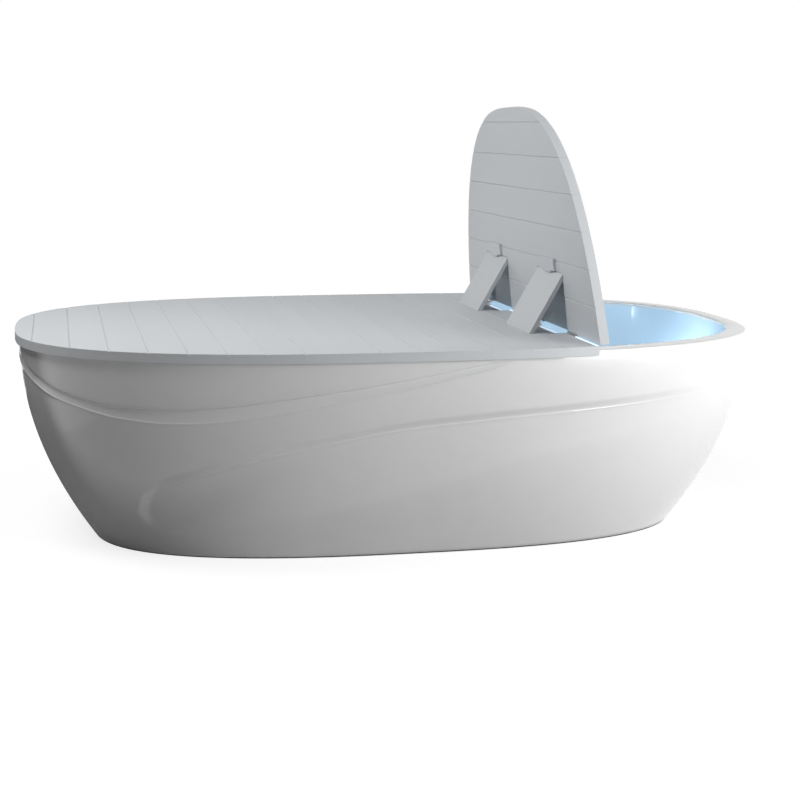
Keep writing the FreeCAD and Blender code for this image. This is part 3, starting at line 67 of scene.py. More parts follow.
def add(
    tree: bpy.types.NodeTree,
    kind: str,
    settings: dict | None = None,
    links: dict | None = None,
) -> bpy.types.Node:
    """Add a node with its settings and its incoming links.

    Args:
        tree: Node tree that gets the node.
        kind: Node type, such as "ShaderNodeBump".
        settings: Socket values and node properties by name. A socket's name is looked up first.
        links: Output socket for each input socket, by the input's name or number.

    Returns:
        The new node.
    """
    node = tree.nodes.new(kind)
    for name, value in (settings or {}).items():
        if name in node.inputs:
            node.inputs[name].default_value = value
        else:
            setattr(node, name, value)
    for name, output in (links or {}).items():
        tree.links.new(output, node.inputs[name])
    return node


def empty_material(name: str) -> bpy.types.Material:
    """Make a material whose node tree is still empty."""
    made = bpy.data.materials.new(name)
    made.use_nodes = True
    made.node_tree.nodes.clear()
    return made


class Pattern(Enum):
    """How a surface was made, which sets the pattern of its colour and bump."""

    SPRAYED = "even orange peel"
    BRUSHED_ALONG = "fine lines across the tank, along each board"
    GRAIN = "long wood grain"
    MOULDED = "fine spark-eroded grain"
    DRAWN = "drawing lines along the metal"
    CELLS = "closed foam cells"
    PLEATS = "pleated felt"
    WEAVE = "glass cloth under lacquer"


STRETCH = {
    Pattern.BRUSHED_ALONG: (1.0, 0.04, 1.0),
    Pattern.GRAIN: (0.05, 1.0, 1.0),
    Pattern.DRAWN: (0.06, 1.0, 1.0),
    Pattern.PLEATS: (0.1, 1.0, 1.0),
}
COAT_ROUGHNESS = 0.03
# what the fine pattern adds to the mix of colour and shade
DETAIL_SHARE = 0.12
# least and greatest roughness over the patches, as shares of the finish's own
GLOSS_SPREAD = (0.85, 1.2)
# a wave texture's bands for each unit of its scale
WAVE_TURN = 6.28


@dataclass(frozen=True)
class Finish:
    """One real material and how its surface was made."""

    name: str
    colour: str
    shade: str
    roughness: float
    pattern: Pattern
    size_mm: float
    depth_mm: float
    patch_mm: float = 220.0
    metallic: float = 0.0
    coat: float = 0.0
    edge_mm: float = 0.0
    glow: str = ""
    glow_strength: float = 0.0

    def material(self) -> bpy.types.Material:
        """Give the material of this finish, made once.

        Returns:
            The node material.
        """
        made = bpy.data.materials.get(self.name)
        if made:
            return made
        made = empty_material(self.name)
        made.diffuse_color = linear(self.colour)
        tree = made.node_tree
        place = add(tree, "ShaderNodeTexCoord").outputs["Object"]
        stretched = add(
            tree,
            "ShaderNodeMapping",
            {"Scale": STRETCH.get(self.pattern, (1.0, 1.0, 1.0))},
            {"Vector": place},
        ).outputs["Vector"]
        detail = self.detail(tree, stretched)
        patches = add(
            tree,
            "ShaderNodeTexNoise",
            {"Scale": 1 / (self.patch_mm * MM), "Detail": 3.0, "Roughness": 0.55},
            {"Vector": stretched},
        ).outputs["Fac"]
        spread = add(tree, "ShaderNodeMath", {"operation": "MULTIPLY_ADD"}, {0: patches, 1: detail})
        spread.inputs[2].default_value = DETAIL_SHARE
        tone = add(tree, "ShaderNodeMix", {"data_type": "RGBA"}, {0: spread.outputs[0]})
        tone.inputs[6].default_value = linear(self.colour)
        tone.inputs[7].default_value = linear(self.shade)
        gloss = add(
            tree,
            "ShaderNodeMapRange",
            {
                "To Min": self.roughness * GLOSS_SPREAD[0],
                "To Max": min(1.0, self.roughness * GLOSS_SPREAD[1]),
            },
            {"Value": patches},
        )
        relief = add(
            tree,
            "ShaderNodeBump",
            {"Strength": 1.0, "Distance": self.depth_mm * MM},
            {"Height": detail},
        )
        if self.edge_mm:
            eased = add(tree, "ShaderNodeBevel", {"samples": 4, "Radius": self.edge_mm * MM})
            tree.links.new(eased.outputs["Normal"], relief.inputs["Normal"])
        skin = add(
            tree,
            "ShaderNodeBsdfPrincipled",
            {
                "Metallic": self.metallic,
                "Coat Weight": self.coat,
                "Coat Roughness": COAT_ROUGHNESS,
            },
            {
                "Base Color": tone.outputs[2],
                "Roughness": gloss.outputs["Result"],
                "Normal": relief.outputs["Normal"],
            },
        )
        if self.glow:
            skin.inputs["Emission Color"].default_value = linear(self.glow)
            skin.inputs["Emission Strength"].default_value = self.glow_strength
        add(tree, "ShaderNodeOutputMaterial", None, {"Surface": skin.outputs["BSDF"]})
        return made

    def detail(self, tree: bpy.types.NodeTree, place: bpy.types.NodeSocket) -> bpy.types.NodeSocket:
        """Add the fine pattern that the surface's making left.

        Args:
            tree: Node tree of the material.
            place: Coordinates in metres.

        Returns:
            A grey pattern from 0 to 1.
        """
        scale = 1 / (self.size_mm * MM)
        if self.pattern is Pattern.CELLS:
            cells = add(tree, "ShaderNodeTexVoronoi", {"Scale": scale}, {"Vector": place})
            return cells.outputs["Distance"]
        if self.pattern in (Pattern.PLEATS, Pattern.WEAVE):
            threads = add(
                tree,
                "ShaderNodeTexWave",
                {"Scale": scale / WAVE_TURN, "Distortion": 0.4, "bands_direction": "DIAGONAL"},
                {"Vector": place},
            )
            return threads.outputs["Fac"]
        noise = {"Scale": scale, "Detail": 2.0, "Roughness": 0.5}
        return add(tree, "ShaderNodeTexNoise", noise, {"Vector": place}).outputs["Fac"]


# Polyester gelcoat polished out of the mould: deep gloss over a broad, very shallow waviness.
GELCOAT = Finish(
    "polished_gelcoat", "#e3e4e3", "#dcdddc", 0.16, Pattern.SPRAYED, 60.0, 0.06, coat=0.5
)
# Gelcoat basin: the same gloss, with the cool lamps' light painted into its colour as a pale blue
# cast.
BASIN_GELCOAT_PAINTED_BLUE_LIGHT = Finish(
    "basin_gelcoat_painted_blue_light", "#cbe3f2", "#c4deee", 0.22, Pattern.SPRAYED, 60.0, 0.06,
    patch_mm=600.0, coat=0.3,
)
# Satin paint rolled onto board: nearly flat, with faint roller lines along each board.
PAINTED_BOARD = Finish(
    "satin_painted_board", "#cfd2d5", "#c7cbce", 0.55, Pattern.BRUSHED_ALONG, 5.0, 0.05, edge_mm=1.5
)
# Sawn spruce, left bare: warm and dull, with open grain along the batten.
SPRUCE = Finish("sawn_spruce", "#cfa671", "#b58a54", 0.75, Pattern.GRAIN, 4.0, 0.3, patch_mm=40.0)
# Closed-cell polyurethane foam: cream, chalky, with visible cells.
PU_FOAM = Finish("polyurethane_foam", "#e8dcae", "#d9c98f", 0.95, Pattern.CELLS, 6.0, 0.8)
# Etched heating foil in a polyester film: dark gold with a shine.
HEATING_FOIL = Finish(
    "heating_foil", "#7a5a35", "#4b3a2a", 0.35, Pattern.WEAVE, 12.0, 0.1, metallic=0.6
)
# Powder-coated steel tube: mid grey with a fine orange peel.
POWDER_COAT = Finish("powder_coated_steel", "#8b8f92", "#7d8184", 0.45, Pattern.SPRAYED, 3.0, 0.08)
# Hot-dip galvanised sheet: bright grey with large soft spangles.
GALVANISED = Finish(
    "galvanised_sheet", "#b9bec1", "#9da3a7", 0.4, Pattern.CELLS, 18.0, 0.04, metallic=1.0
)
# Moulded rubber foot: near black, dull.
FOOT_RUBBER = Finish("moulded_foot_rubber", "#232425", "#2e2f30", 0.8, Pattern.MOULDED, 2.0, 0.1)
# Glass-filled nylon pump casing: dark grey with a fine grain.
PUMP_NYLON = Finish("glass_filled_nylon", "#33373b", "#3d4145", 0.55, Pattern.MOULDED, 2.0, 0.1)
# Stove enamel on the motor: deep blue with a soft gloss.
MOTOR_ENAMEL = Finish("stove_enamel", "#27415c", "#22384f", 0.35, Pattern.SPRAYED, 4.0, 0.06)
# Injection-moulded ABS canister: off white with a satin grain.
CANISTER_ABS = Finish("canister_abs", "#dfe2e0", "#d3d7d5", 0.4, Pattern.MOULDED, 2.0, 0.05)
# Pleated polyester filter felt: white and fibrous.
FILTER_FELT = Finish("filter_felt", "#e9ecec", "#c9d2d6", 0.95, Pattern.PLEATS, 8.0, 1.0)
# Extruded PVC pipe: light grey with faint lines along it.
PIPE_PVC = Finish("pipe_pvc", "#a9afb3", "#9da4a8", 0.38, Pattern.DRAWN, 3.0, 0.04)
# Moulded acrylic-capped ABS fittings: clean white with a soft gloss.
FITTING_ABS = Finish("fitting_abs", "#e6e9ea", "#dde1e2", 0.3, Pattern.MOULDED, 2.0, 0.03)
# Nitrile rubber plug: dark grey, dull.
PLUG_RUBBER = Finish("nitrile_rubber", "#3a3d40", "#303235", 0.75, Pattern.MOULDED, 2.0, 0.1)
# Red nylon valve handle: strong colour with a fine grain.
HANDLE_NYLON = Finish("handle_nylon", "#b3231f", "#a01d1a", 0.45, Pattern.MOULDED, 2.0, 0.1)
# Turned and brushed stainless steel rings: bright, with drawing lines.
BEZEL_STEEL = Finish(
    "brushed_stainless_steel", "#c9cbcc", "#b8babb", 0.28, Pattern.DRAWN, 1.5, 0.02, metallic=1.0
)
# Opal polycarbonate lens over cool lamps: an even blue-white light.
LENS_OPAL = Finish(
    "opal_polycarbonate", "#e8f3ff", "#dcecfb", 0.4, Pattern.MOULDED, 3.0, 0.02,
    glow="#bfe0ff", glow_strength=2.0,
)
# Glowing strip in the fold, no lamp: painted light standing in for the basin's cool light shining
# out through the gap, on a milky body.
FOLD_GAP_GLOW = Finish(
    "fold_gap_painted_glow", "#e8f4ff", "#dcecff", 0.5, Pattern.MOULDED, 3.0, 0.02,
    glow="#d3ebff", glow_strength=0.9,
)
# Moulded ABS air button: white, slightly glossy.
BUTTON_ABS = Finish("button_abs", "#eef0f0", "#e4e7e8", 0.3, Pattern.MOULDED, 2.0, 0.03)
# Polycarbonate control box: light grey with a spark-eroded grain.
BOX_POLYCARBONATE = Finish(
    "box_polycarbonate", "#c2c6c8", "#b7bcbe", 0.5, Pattern.MOULDED, 2.0, 0.08
)
# Glass-epoxy board under solder mask: green with the cloth showing through.
CIRCUIT_EPOXY = Finish("circuit_epoxy", "#1f5d39", "#184b2e", 0.35, Pattern.WEAVE, 3.0, 0.05)
# Polyamide gland: black with a fine grain.
GLAND_POLYAMIDE = Finish("gland_polyamide", "#2a2b2d", "#242526", 0.5, Pattern.MOULDED, 2.0, 0.05)
# Zinc-plated screws: bright and slightly blue.
ZINC_PLATE = Finish("zinc_plate", "#c3c8cd", "#aeb4bb", 0.3, Pattern.DRAWN, 1.0, 0.02, metallic=1.0)
# Pressed and brushed stainless hinge leaves.
HINGE_STEEL = Finish(
    "hinge_stainless_steel", "#bfc2c4", "#adb0b3", 0.33, Pattern.DRAWN, 1.5, 0.03, metallic=1.0
)


# ---------------------------------------------------------------- pieces

# edges of the small cut block and of the glowing fold strip that are longer than this run along
# them
LONG_EDGE = 0.1


def dress(nodes: Iterable[str], finish: Finish) -> None:
    """Give CAD nodes a finish.

    Args:
        nodes: Names of the nodes.
        finish: Finish of all of them.
    """
    for node in nodes:
        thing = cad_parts[node]
        if not thing.material_slots:
            thing.data.materials.append(finish.material())
        for place in thing.material_slots:
            place.material = finish.material()
        LOG.info("%s dressed in %s", node, finish.name)


def finished(
    shape: bmesh.types.BMesh, name: str, body: str, finish: Finish
) -> bpy.types.Object:
    """Turn a bmesh into a piece that rides on a body.

    Args:
        shape: The geometry, in metres, in the tank's frame. It is freed.
        name: Name of the piece.
        body: CAD body that carries it.
        finish: What it is made of.

    Returns:
        The finished object.
    """
    mesh = bpy.data.meshes.new(name)
    shape.to_mesh(mesh)
    shape.free()
    mesh.materials.append(finish.material())
    mesh.shade_smooth()
    thing = bpy.data.objects.new(name, mesh)
    bpy.context.scene.collection.objects.link(thing)
    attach(thing, body)
    LOG.info("%s made of %s, %d faces", name, finish.name, len(mesh.polygons))
    return thing


def runs_across(edge: bmesh.types.BMEdge) -> bool:
    """Whether an edge runs across the tank."""
    return abs(edge.verts[0].co.y - edge.verts[1].co.y) > LONG_EDGE


def eased_step(share: np.ndarray) -> np.ndarray:
    """Smooth step from 0 to 1 over a share from 0 to 1."""
    share = np.clip(share, 0.0, 1.0)
    return share * share * (3 - 2 * share)


@dataclass(frozen=True)
class Course:
    """A line carved along the shell: its height over the way from the head end to the foot end."""

    way: tuple[float, ...]
    height_mm: tuple[float, ...]
    samples: int = 601
    fairing: int = 31

    def faired(self) -> tuple[np.ndarray, np.ndarray]:
        """Fair the line as a batten would.

        Returns:
            Even steps of the way, and the height in metres at each.
        """
        steps = np.linspace(0.0, 1.0, self.samples)
        rough = np.interp(steps, self.way, self.height_mm) * MM
        weights = np.hanning(self.fairing)
        padded = np.pad(rough, self.fairing // 2, mode="reflect", reflect_type="odd")
        return steps, np.convolve(padded, weights / weights.sum(), mode="valid")

    def at(self, way: np.ndarray) -> np.ndarray:
        """Height in metres at each place along the way."""
        steps, heights = self.faired()
        return np.interp(way, steps, heights)


@dataclass
class Shell:
    """Outer shell with its rolled rim, and the moulded waves along both sides."""

    half_length: float = 1.1455
    half_breadth: float = 0.6745
    outline_power: float = 2.7
    taper_length: float = 0.2215
    taper_breadth: float = 0.2065
    foot: float = 0.004
    rim: float = 0.618
    rim_width: float = 0.058
    rim_thickness: float = 0.010
    rim_round: float = 0.005
    wall: float = 0.008
    columns: int = 600
    rows_between: tuple[int, ...] = (40, 5, 9, 22, 6, 7, 6, 14)
    smooth_turns: int = 4
    rim_lip: float = 0.002
    inner_drops: tuple[float, ...] = (0.15, 0.35, 0.55, 0.75, 1.0)
    # ribbon: a band tilted up to the light, with a fine bead along both edges, that sweeps down
    # from the foot end and up under the cover
    ribbon_middle: Course = Course(
        (
            0.425, 0.465, 0.502, 0.53, 0.586, 0.644, 0.681, 0.718,
            0.757, 0.808, 0.835, 0.877, 0.905, 0.95, 1.0,
        ),
        (
            596.0, 573.0, 550.0, 535.0, 507.0, 480.0, 463.0, 452.0,
            448.0, 457.0, 474.0, 495.0, 522.0, 556.0, 576.0,
        ),
    )
    ribbon_width: Course = Course(
        (0.425, 0.445, 0.502, 0.586, 0.644, 0.7, 0.757, 0.808, 0.877, 1.0),
        (0.0, 18.0, 24.0, 31.0, 37.0, 41.0, 38.0, 30.0, 27.0, 26.0),
        fairing=11,
    )
    ribbon_depth: float = 0.0065
    ribbon_edge: float = 0.006
    # where along the way a wave starts or ends, and over how much of it that is eased
    ribbon_start: tuple[float, float] = (0.425, 0.03)
    bead_height: float = 0.0011
    # scoop: a hard crease above, easing out to a soft ridge below
    crease: Course = Course(
        (
            0.178, 0.206, 0.258, 0.322, 0.376, 0.435, 0.511, 0.549,
            0.597, 0.648, 0.688, 0.73, 0.763, 0.794, 0.81,
        ),
        (
            475.0, 467.0, 461.0, 450.0, 441.0, 431.0, 413.0, 399.0,
            372.0, 341.0, 309.0, 271.0, 241.0, 195.0, 150.0,
        ),
        fairing=21,
    )
    ridge: Course = Course(
        (0.178, 0.251, 0.316, 0.39, 0.428, 0.467, 0.507, 0.548, 0.602, 0.659, 0.703, 0.735, 0.81),
        (405.0, 385.0, 352.0, 315.0, 287.0, 252.0, 220.0, 189.0, 156.0, 126.0, 108.0, 100.0, 92.0),
    )
    scoop_depth: float = 0.011
    scoop_flank: float = 0.026
    crease_bead: float = 0.006
    scoop_least: float = 0.02
    scoop_start: tuple[float, float] = (0.17, 0.24)
    scoop_end_fade: float = 0.012
    belly_depth: float = 0.007
    belly_start: tuple[float, float] = (0.30, 0.2)
    belly_end: tuple[float, float] = (0.77, 0.12)
    turn_height_mm: tuple[float, ...] = (0.0, 24.0, 55.0, 91.0, 150.0, 195.0, 260.0)
    turn_way: tuple[float, ...] = (0.765, 0.778, 0.792, 0.806, 0.808, 0.797, 0.78)
    # service notch through the back
    notch_middle: float = -0.79
    notch_width: float = 0.17
    notch_height: float = 0.11
    notch_round: float = 0.03
    notch_reach: float = 0.4
    notch_depth_place: float = 0.45
    notch_below: float = 0.05

    def outline(self) -> tuple[np.ndarray, np.ndarray]:
        """Measure the rim's outline from the head end round to the foot end.

        Returns:
            Superellipse angles, and the share of the way at each.
        """
        angle = np.linspace(0.0, math.pi, 4001)
        power = 2 / self.outline_power
        x = self.half_length * np.sign(np.cos(angle)) * np.abs(np.cos(angle)) ** power
        y = self.half_breadth * np.abs(np.sin(angle)) ** power
        way = np.concatenate([[0.0], np.cumsum(np.hypot(np.diff(x), np.diff(y)))])
        return angle, way / way[-1]

    def carved(self, way: np.ndarray, height: np.ndarray) -> np.ndarray:
        """How far the moulded waves stand out of the plain skin.

        Args:
            way: Share of the way from the head end to the foot end.
            height: Height above the floor, in metres.

        Returns:
            Outward distance in metres, below zero where the skin is drawn in.
        """
        above = height - self.ribbon_middle.at(way)
        half_width = self.ribbon_width.at(way) / 2
        inside = eased_step((half_width - np.abs(above)) / self.ribbon_edge + 0.5)
        tilt = 0.5 + 0.5 * np.clip(above / np.maximum(half_width, MM), -1.0, 1.0)
        bead = self.bead_height * self.beaded(np.abs(above) - half_width, self.ribbon_edge)
        starts = eased_step((way - self.ribbon_start[0]) / self.ribbon_start[1])
        band = (bead - self.ribbon_depth * tilt * inside) * starts

        crease, ridge = self.crease.at(way), self.ridge.at(way)
        flank = 1 - eased_step((height - crease) / self.scoop_flank)
        fall = np.maximum(crease - ridge, self.scoop_least)
        run_out = 1 - np.clip((crease - height) / fall, 0.0, 1.0) ** 2
        depth = np.where(height > crease, flank, run_out)
        lip = self.beaded(height - crease + self.crease_bead / 2, self.crease_bead)
        depth = depth - lip * self.bead_height / self.scoop_depth
        belly = np.sin(math.pi * np.clip((ridge - height) / (ridge - self.foot), 0.0, 1.0))
        turn = np.interp(height, np.array(self.turn_height_mm) * MM, self.turn_way)
        within = np.clip((turn - way) / self.scoop_end_fade, 0.0, 1.0)
        head_fade = eased_step((way - self.scoop_start[0]) / self.scoop_start[1])
        belly_fade = eased_step((way - self.belly_start[0]) / self.belly_start[1]) * eased_step(
            (self.belly_end[0] - way) / self.belly_end[1]
        )
        scoop = self.scoop_depth * depth * within * head_fade
        return band - scoop - self.belly_depth * belly * belly_fade

    @staticmethod
    def beaded(off: np.ndarray, width: float) -> np.ndarray:
        """Section of a fine bead, from 1 on its line to 0 at its sides."""
        return np.cos(math.pi / 2 * np.clip(off / (width / 2), -1.0, 1.0)) ** 2

    def outside_rows(self, way: np.ndarray) -> np.ndarray:
        """Spread the outside rows so that they follow the crease and the ribbon's edges.

        Args:
            way: Share of the way from the head end to the foot end, for each column.

        Returns:
            Height of each row at each column, in metres.
        """
        crease, middle = self.crease.at(way), self.ribbon_middle.at(way)
        half_width = np.maximum(self.ribbon_width.at(way) / 2, self.ribbon_edge)
        ease = self.ribbon_edge / 2
        lines = [
            np.full_like(way, self.foot),
            crease - self.crease_bead,
            crease,
            crease + self.scoop_flank,
            middle - half_width - ease,
            middle - half_width + ease,
            middle + half_width - ease,
            middle + half_width + ease,
            np.full_like(way, self.rim - self.rim_round),
        ]
        rows = [lines[0]]
        for low, high, count in zip(lines, lines[1:], self.rows_between):
            rows += [low + (high - low) * step / count for step in range(1, count + 1)]
        return np.array(rows)

    def profile(self) -> list[tuple[float, float, bool]]:
        """List the section above the outside rows as the laminate runs.

        Returns:
            Height, distance inside the outline, and whether the waves shape it, from the rim's
            round over the rim to the foot inside.
        """
        top = self.rim - self.rim_round
        turns = [90 / self.smooth_turns * step for step in range(1, self.smooth_turns + 1)]
        corner = [
            (top + self.rim_round * math.sin(turn), self.rim_round * (1 - math.cos(turn)), False)
            for turn in map(math.radians, turns)
        ]
        lip, inner = self.rim_lip, self.rim_width
        over = [
            (self.rim, inner / 2, False),
            (self.rim, inner - lip, False),
            (self.rim - lip * 0.3, inner - lip * 0.3, False),
            (self.rim - lip, inner, False),
            (self.rim - self.rim_thickness, inner, False),
            (self.rim - self.rim_thickness, self.wall, False),
        ]
        under = self.rim - self.rim_thickness
        deep = under - self.foot
        inside = [(under - drop * deep, self.wall, True) for drop in self.inner_drops]
        return corner + over + inside

    def lofted(self) -> bmesh.types.BMesh:
        """Draw the section round the tank.

        Returns:
            The closed skin, in metres.
        """
        shape = bmesh.new()
        loop = bmesh.ops.create_circle(shape, segments=self.columns, radius=1.0)["verts"]
        edges = list(shape.edges)
        first, rows = edges, [loop]
        profile, outside = self.profile(), sum(self.rows_between) + 1
        for _ in range(outside + len(profile) - 1):
            grown = bmesh.ops.extrude_edge_only(shape, edges=edges)["geom"]
            corners = [part for part in grown if isinstance(part, bmesh.types.BMVert)]
            lines = [part for part in grown if isinstance(part, bmesh.types.BMEdge)]
            edges = [line for line in lines if self.across(line, grown)]
            rows.append(corners)
        bmesh.ops.bridge_loops(shape, edges=first + edges)
        angles, ways = self.outline()
        for number, row in enumerate(rows):
            way = np.array([abs(math.atan2(corner.co.y, corner.co.x)) for corner in row]) / math.pi
            if number < outside:
                self.lay(row, self.outside_rows(way)[number], 0.0, True, angles, ways)
            else:
                height, inset, waved = profile[number - outside]
                self.lay(row, np.full(len(row), height), inset, waved, angles, ways)
        bmesh.ops.recalc_face_normals(shape, faces=shape.faces)
        return shape

    @staticmethod
    def across(edge: bmesh.types.BMEdge, grown: list) -> bool:
        """Whether an edge runs round the tank, between two new corners."""
        return all(corner in grown for corner in edge.verts)

    def lay(
        self,
        row: list[bmesh.types.BMVert],
        height: np.ndarray,
        inset: float,
        waved: bool,
        angles: np.ndarray,
        ways: np.ndarray,
    ) -> None:
        """Move one row of the unit circle to its place on the shell.

        Args:
            row: Corners of the row.
            height: Height of each corner above the floor, in metres.
            inset: Distance inside the outline at that height.
            waved: Whether the moulded waves shape the row.
            angles: Superellipse angles of the rim's outline.
            ways: Share of the way at each angle.
        """
        turn = np.array([math.atan2(corner.co.y, corner.co.x) for corner in row])
        way = np.abs(turn) / math.pi
        angle = np.interp(way, ways, angles)
        drop = (self.rim - np.minimum(height, self.rim)) / self.rim
        length = self.half_length - self.taper_length * drop * drop - inset
        breadth = self.half_breadth - self.taper_breadth * drop * drop - inset
        power = 2 / self.outline_power
        x = length * np.sign(np.cos(angle)) * np.abs(np.cos(angle)) ** power
        y = breadth * np.abs(np.sin(angle)) ** power * np.sign(turn)
        out = self.carved(way, height) if waved else np.zeros(len(row))
        slope_x = np.sign(x) * np.abs(x / length) ** (self.outline_power - 1) / length
        slope_y = np.sign(y) * np.abs(y / breadth) ** (self.outline_power - 1) / breadth
        steep = np.maximum(np.hypot(slope_x, slope_y), 1e-9)
        x, y = x + out * slope_x / steep, y + out * slope_y / steep
        for corner, along, over, up in zip(row, x, y, height):
            corner.co = (along, over, up)

    def notch_cutter(self) -> bpy.types.Object:
        """Make the arched block that the service notch is cut with.

        Returns:
            The cutter.
        """
        block = bmesh.new()
        tall = self.notch_height + self.notch_below
        size = Matrix.Diagonal((self.notch_width, self.notch_reach, tall, 1.0))
        centre = (self.notch_height - self.notch_below) / 2
        middle = Matrix.Translation((self.notch_middle, self.notch_depth_place, centre))
        bmesh.ops.create_cube(block, size=1.0, matrix=middle @ size)
        upper = [edge for edge in block.edges if all(end.co.z > centre for end in edge.verts)]
        bmesh.ops.bevel(
            block,
            geom=[edge for edge in upper if runs_across(edge)],
            offset=self.notch_round,
            segments=8,
            profile=0.5,
            affect="EDGES",
            material=-1,
        )
        mesh = bpy.data.meshes.new("notch_cutter")
        block.to_mesh(mesh)
        block.free()
        cutter = bpy.data.objects.new("notch_cutter", mesh)
        bpy.context.scene.collection.objects.link(cutter)
        return cutter

    def build(self) -> bpy.types.Object:
        """Make the shell and put it in the plain solid's place.

        Returns:
            The shell.
        """
        shell = finished(self.lofted(), "moulded_shell", "tub", GELCOAT)
        cutter = self.notch_cutter()
        notch = shell.modifiers.new("service_notch", "BOOLEAN")
        notch.operation = "DIFFERENCE"
        notch.solver = "EXACT"
        notch.object = cutter
        bpy.context.view_layer.update()
        cut = shell.evaluated_get(bpy.context.evaluated_depsgraph_get())
        mesh = bpy.data.meshes.new_from_object(cut)
        shell.modifiers.clear()
        shell.data = mesh
        bpy.data.objects.remove(cutter)
        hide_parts("outer_shell")
        return shell


@dataclass
class Basin:
    """Liner with its insulation, lights, buttons and floor fittings."""

    lens_place: float = 1.07
    lamp_inset: float = 0.16
    lamp_height: float = 0.45
    lamp_radius: float = 0.05
    lamp_power: float = 2.7
    lamp_colour: str = "#eaf4ff"

    def dress(self) -> None:
        """Give the basin's pieces their finishes."""
        # the liner's pale blue colour is painted lamp light
        dress(["liner"], BASIN_GELCOAT_PAINTED_BLUE_LIGHT)
        dress(["insulation"], PU_FOAM)
        dress(["heating_mat"], HEATING_FOIL)
        dress(["floor_fittings", "fitting_grilles", "drain_fitting"], FITTING_ABS)
        dress(["drain_plug"], PLUG_RUBBER)
        dress(["light_bezels", "button_bezels"], BEZEL_STEEL)
        dress(["light_lenses"], LENS_OPAL)
        dress(["light_button", "pump_button"], BUTTON_ABS)

    def light(self) -> None:
        """Hang a small cool lamp in front of each lens."""
        for end, name in ((-1, "foot_basin_lamp"), (1, "head_basin_lamp")):
            lamp = bpy.data.lights.new(name, "POINT")
            lamp.energy = self.lamp_power
            lamp.color = linear(self.lamp_colour)[:3]
            lamp.shadow_soft_size = self.lamp_radius
            holder = bpy.data.objects.new(name, lamp)
            holder.location = (end * (self.lens_place - self.lamp_inset), 0.0, self.lamp_height)
            bpy.context.scene.collection.objects.link(holder)


@dataclass
class FoldGapGlow:
    """Glowing strip along the fold between the hinges: painted light for the basin's light shining
    through the gap, no lamp.
    """

    fold: float = 0.4735
    top: float = 0.630
    pocket_floor: float = 0.6167
    width: float = 0.007
    thickness: float = 0.0025
    spans: tuple[tuple[float, float], ...] = ((0.044, 0.154), (0.478, 0.652))
    pocket_spans: tuple[tuple[float, float], ...] = ((0.159, 0.387),)

    def build(self) -> bpy.types.Object:
        """Make all lengths of the strip as one piece.

        Returns:
            The strip.
        """
        shape = bmesh.new()
        levels = [(span, self.top) for span in self.spans]
        levels += [(span, self.pocket_floor) for span in self.pocket_spans]
        for (near, far), height in levels:
            for side in (-1, 1):
                middle = (self.fold - self.width / 2, side * (near + far) / 2, height)
                size = Matrix.Diagonal((self.width, far - near, self.thickness, 1.0))
                bmesh.ops.create_cube(shape, size=1.0, matrix=Matrix.Translation(middle) @ size)
        bmesh.ops.bevel(
            shape,
            geom=[edge for edge in shape.edges if runs_across(edge)],
            offset=self.thickness * 0.4,
            segments=3,
            profile=0.5,
            affect="EDGES",
            material=-1,
        )
        return finished(shape, "fold_gap_painted_light", "cover", FOLD_GAP_GLOW)


@dataclass
class Cover:
    """Flat cover of sixteen boards on battens, with the fold hinges."""

    boards: int = 16

    def dress(self) -> None:
        """Give the cover's pieces their finishes."""
        dress(["cover_slat_%02d" % number for number in range(1, self.boards + 1)], PAINTED_BOARD)
        dress(["cover_battens"], SPRUCE)
        dress(["cover_screws"], ZINC_PLATE)
        dress(["cover_hinge_leaves"], HINGE_STEEL)


@dataclass
class HeadPanel:
    """Head panel of seven boards, folded up, with its hinge blocks and two prop stays."""

    boards: int = 7

    def dress(self) -> None:
        """Give the panel's pieces and the stays their finishes."""
        dress(["panel_slat_%02d" % number for number in range(1, self.boards + 1)], PAINTED_BOARD)
        dress(["stay_hinge_blocks", "prop_stay_front", "prop_stay_back"], PAINTED_BOARD)
        dress(["panel_battens"], SPRUCE)
        dress(["panel_screws"], ZINC_PLATE)
        dress(["panel_hinge_leaves"], HINGE_STEEL)


@dataclass
class Underframe:
    """Welded frame, feet and equipment tray."""

    def dress(self) -> None:
        """Give the frame's pieces their finishes."""
        dress(["frame_beams", "frame_legs"], POWDER_COAT)
        dress(["levelling_feet"], FOOT_RUBBER)
        dress(["equipment_tray"], GALVANISED)


@dataclass
class WaterWorks:
    """Pump, filter, pipes and drain."""

    def dress(self) -> None:
        """Give the water side its finishes."""
        dress(["pump_housing", "pump_rotor"], PUMP_NYLON)
        dress(["pump_motor"], MOTOR_ENAMEL)
        dress(["filter_canister"], CANISTER_ABS)
        dress(["filter_cartridge"], FILTER_FELT)
        dress(["water_pipes", "drain_valve"], PIPE_PVC)
        dress(["valve_handle"], HANDLE_NYLON)


@dataclass
class Controls:
    """Control box, its board and the cord gland."""

    def dress(self) -> None:
        """Give the controls their finishes."""
        dress(["control_box"], BOX_POLYCARBONATE)
        dress(["control_board"], CIRCUIT_EPOXY)
        dress(["power_gland"], GLAND_POLYAMIDE)


# ---------------------------------------------------------------- studio and camera


@dataclass(frozen=True)
class Softbox:
    """A rectangular studio lamp."""

    name: str
    place: tuple[float, float, float]
    aim: tuple[float, float, float]
    size: tuple[float, float]
    power: float
    mirrored: bool = True

    def hang(self) -> None:
        """Hang the lamp and turn it to what it lights."""
        lamp = bpy.data.lights.new(self.name, "AREA")
        lamp.shape = "RECTANGLE"
        lamp.size, lamp.size_y = self.size
        lamp.energy = self.power
        holder = bpy.data.objects.new(self.name, lamp)
        holder.location = self.place
        way = Vector(self.aim) - Vector(self.place)
        holder.rotation_euler = way.to_track_quat("-Z", "Y").to_euler()
        holder.visible_glossy = self.mirrored
        bpy.context.scene.collection.objects.link(holder)


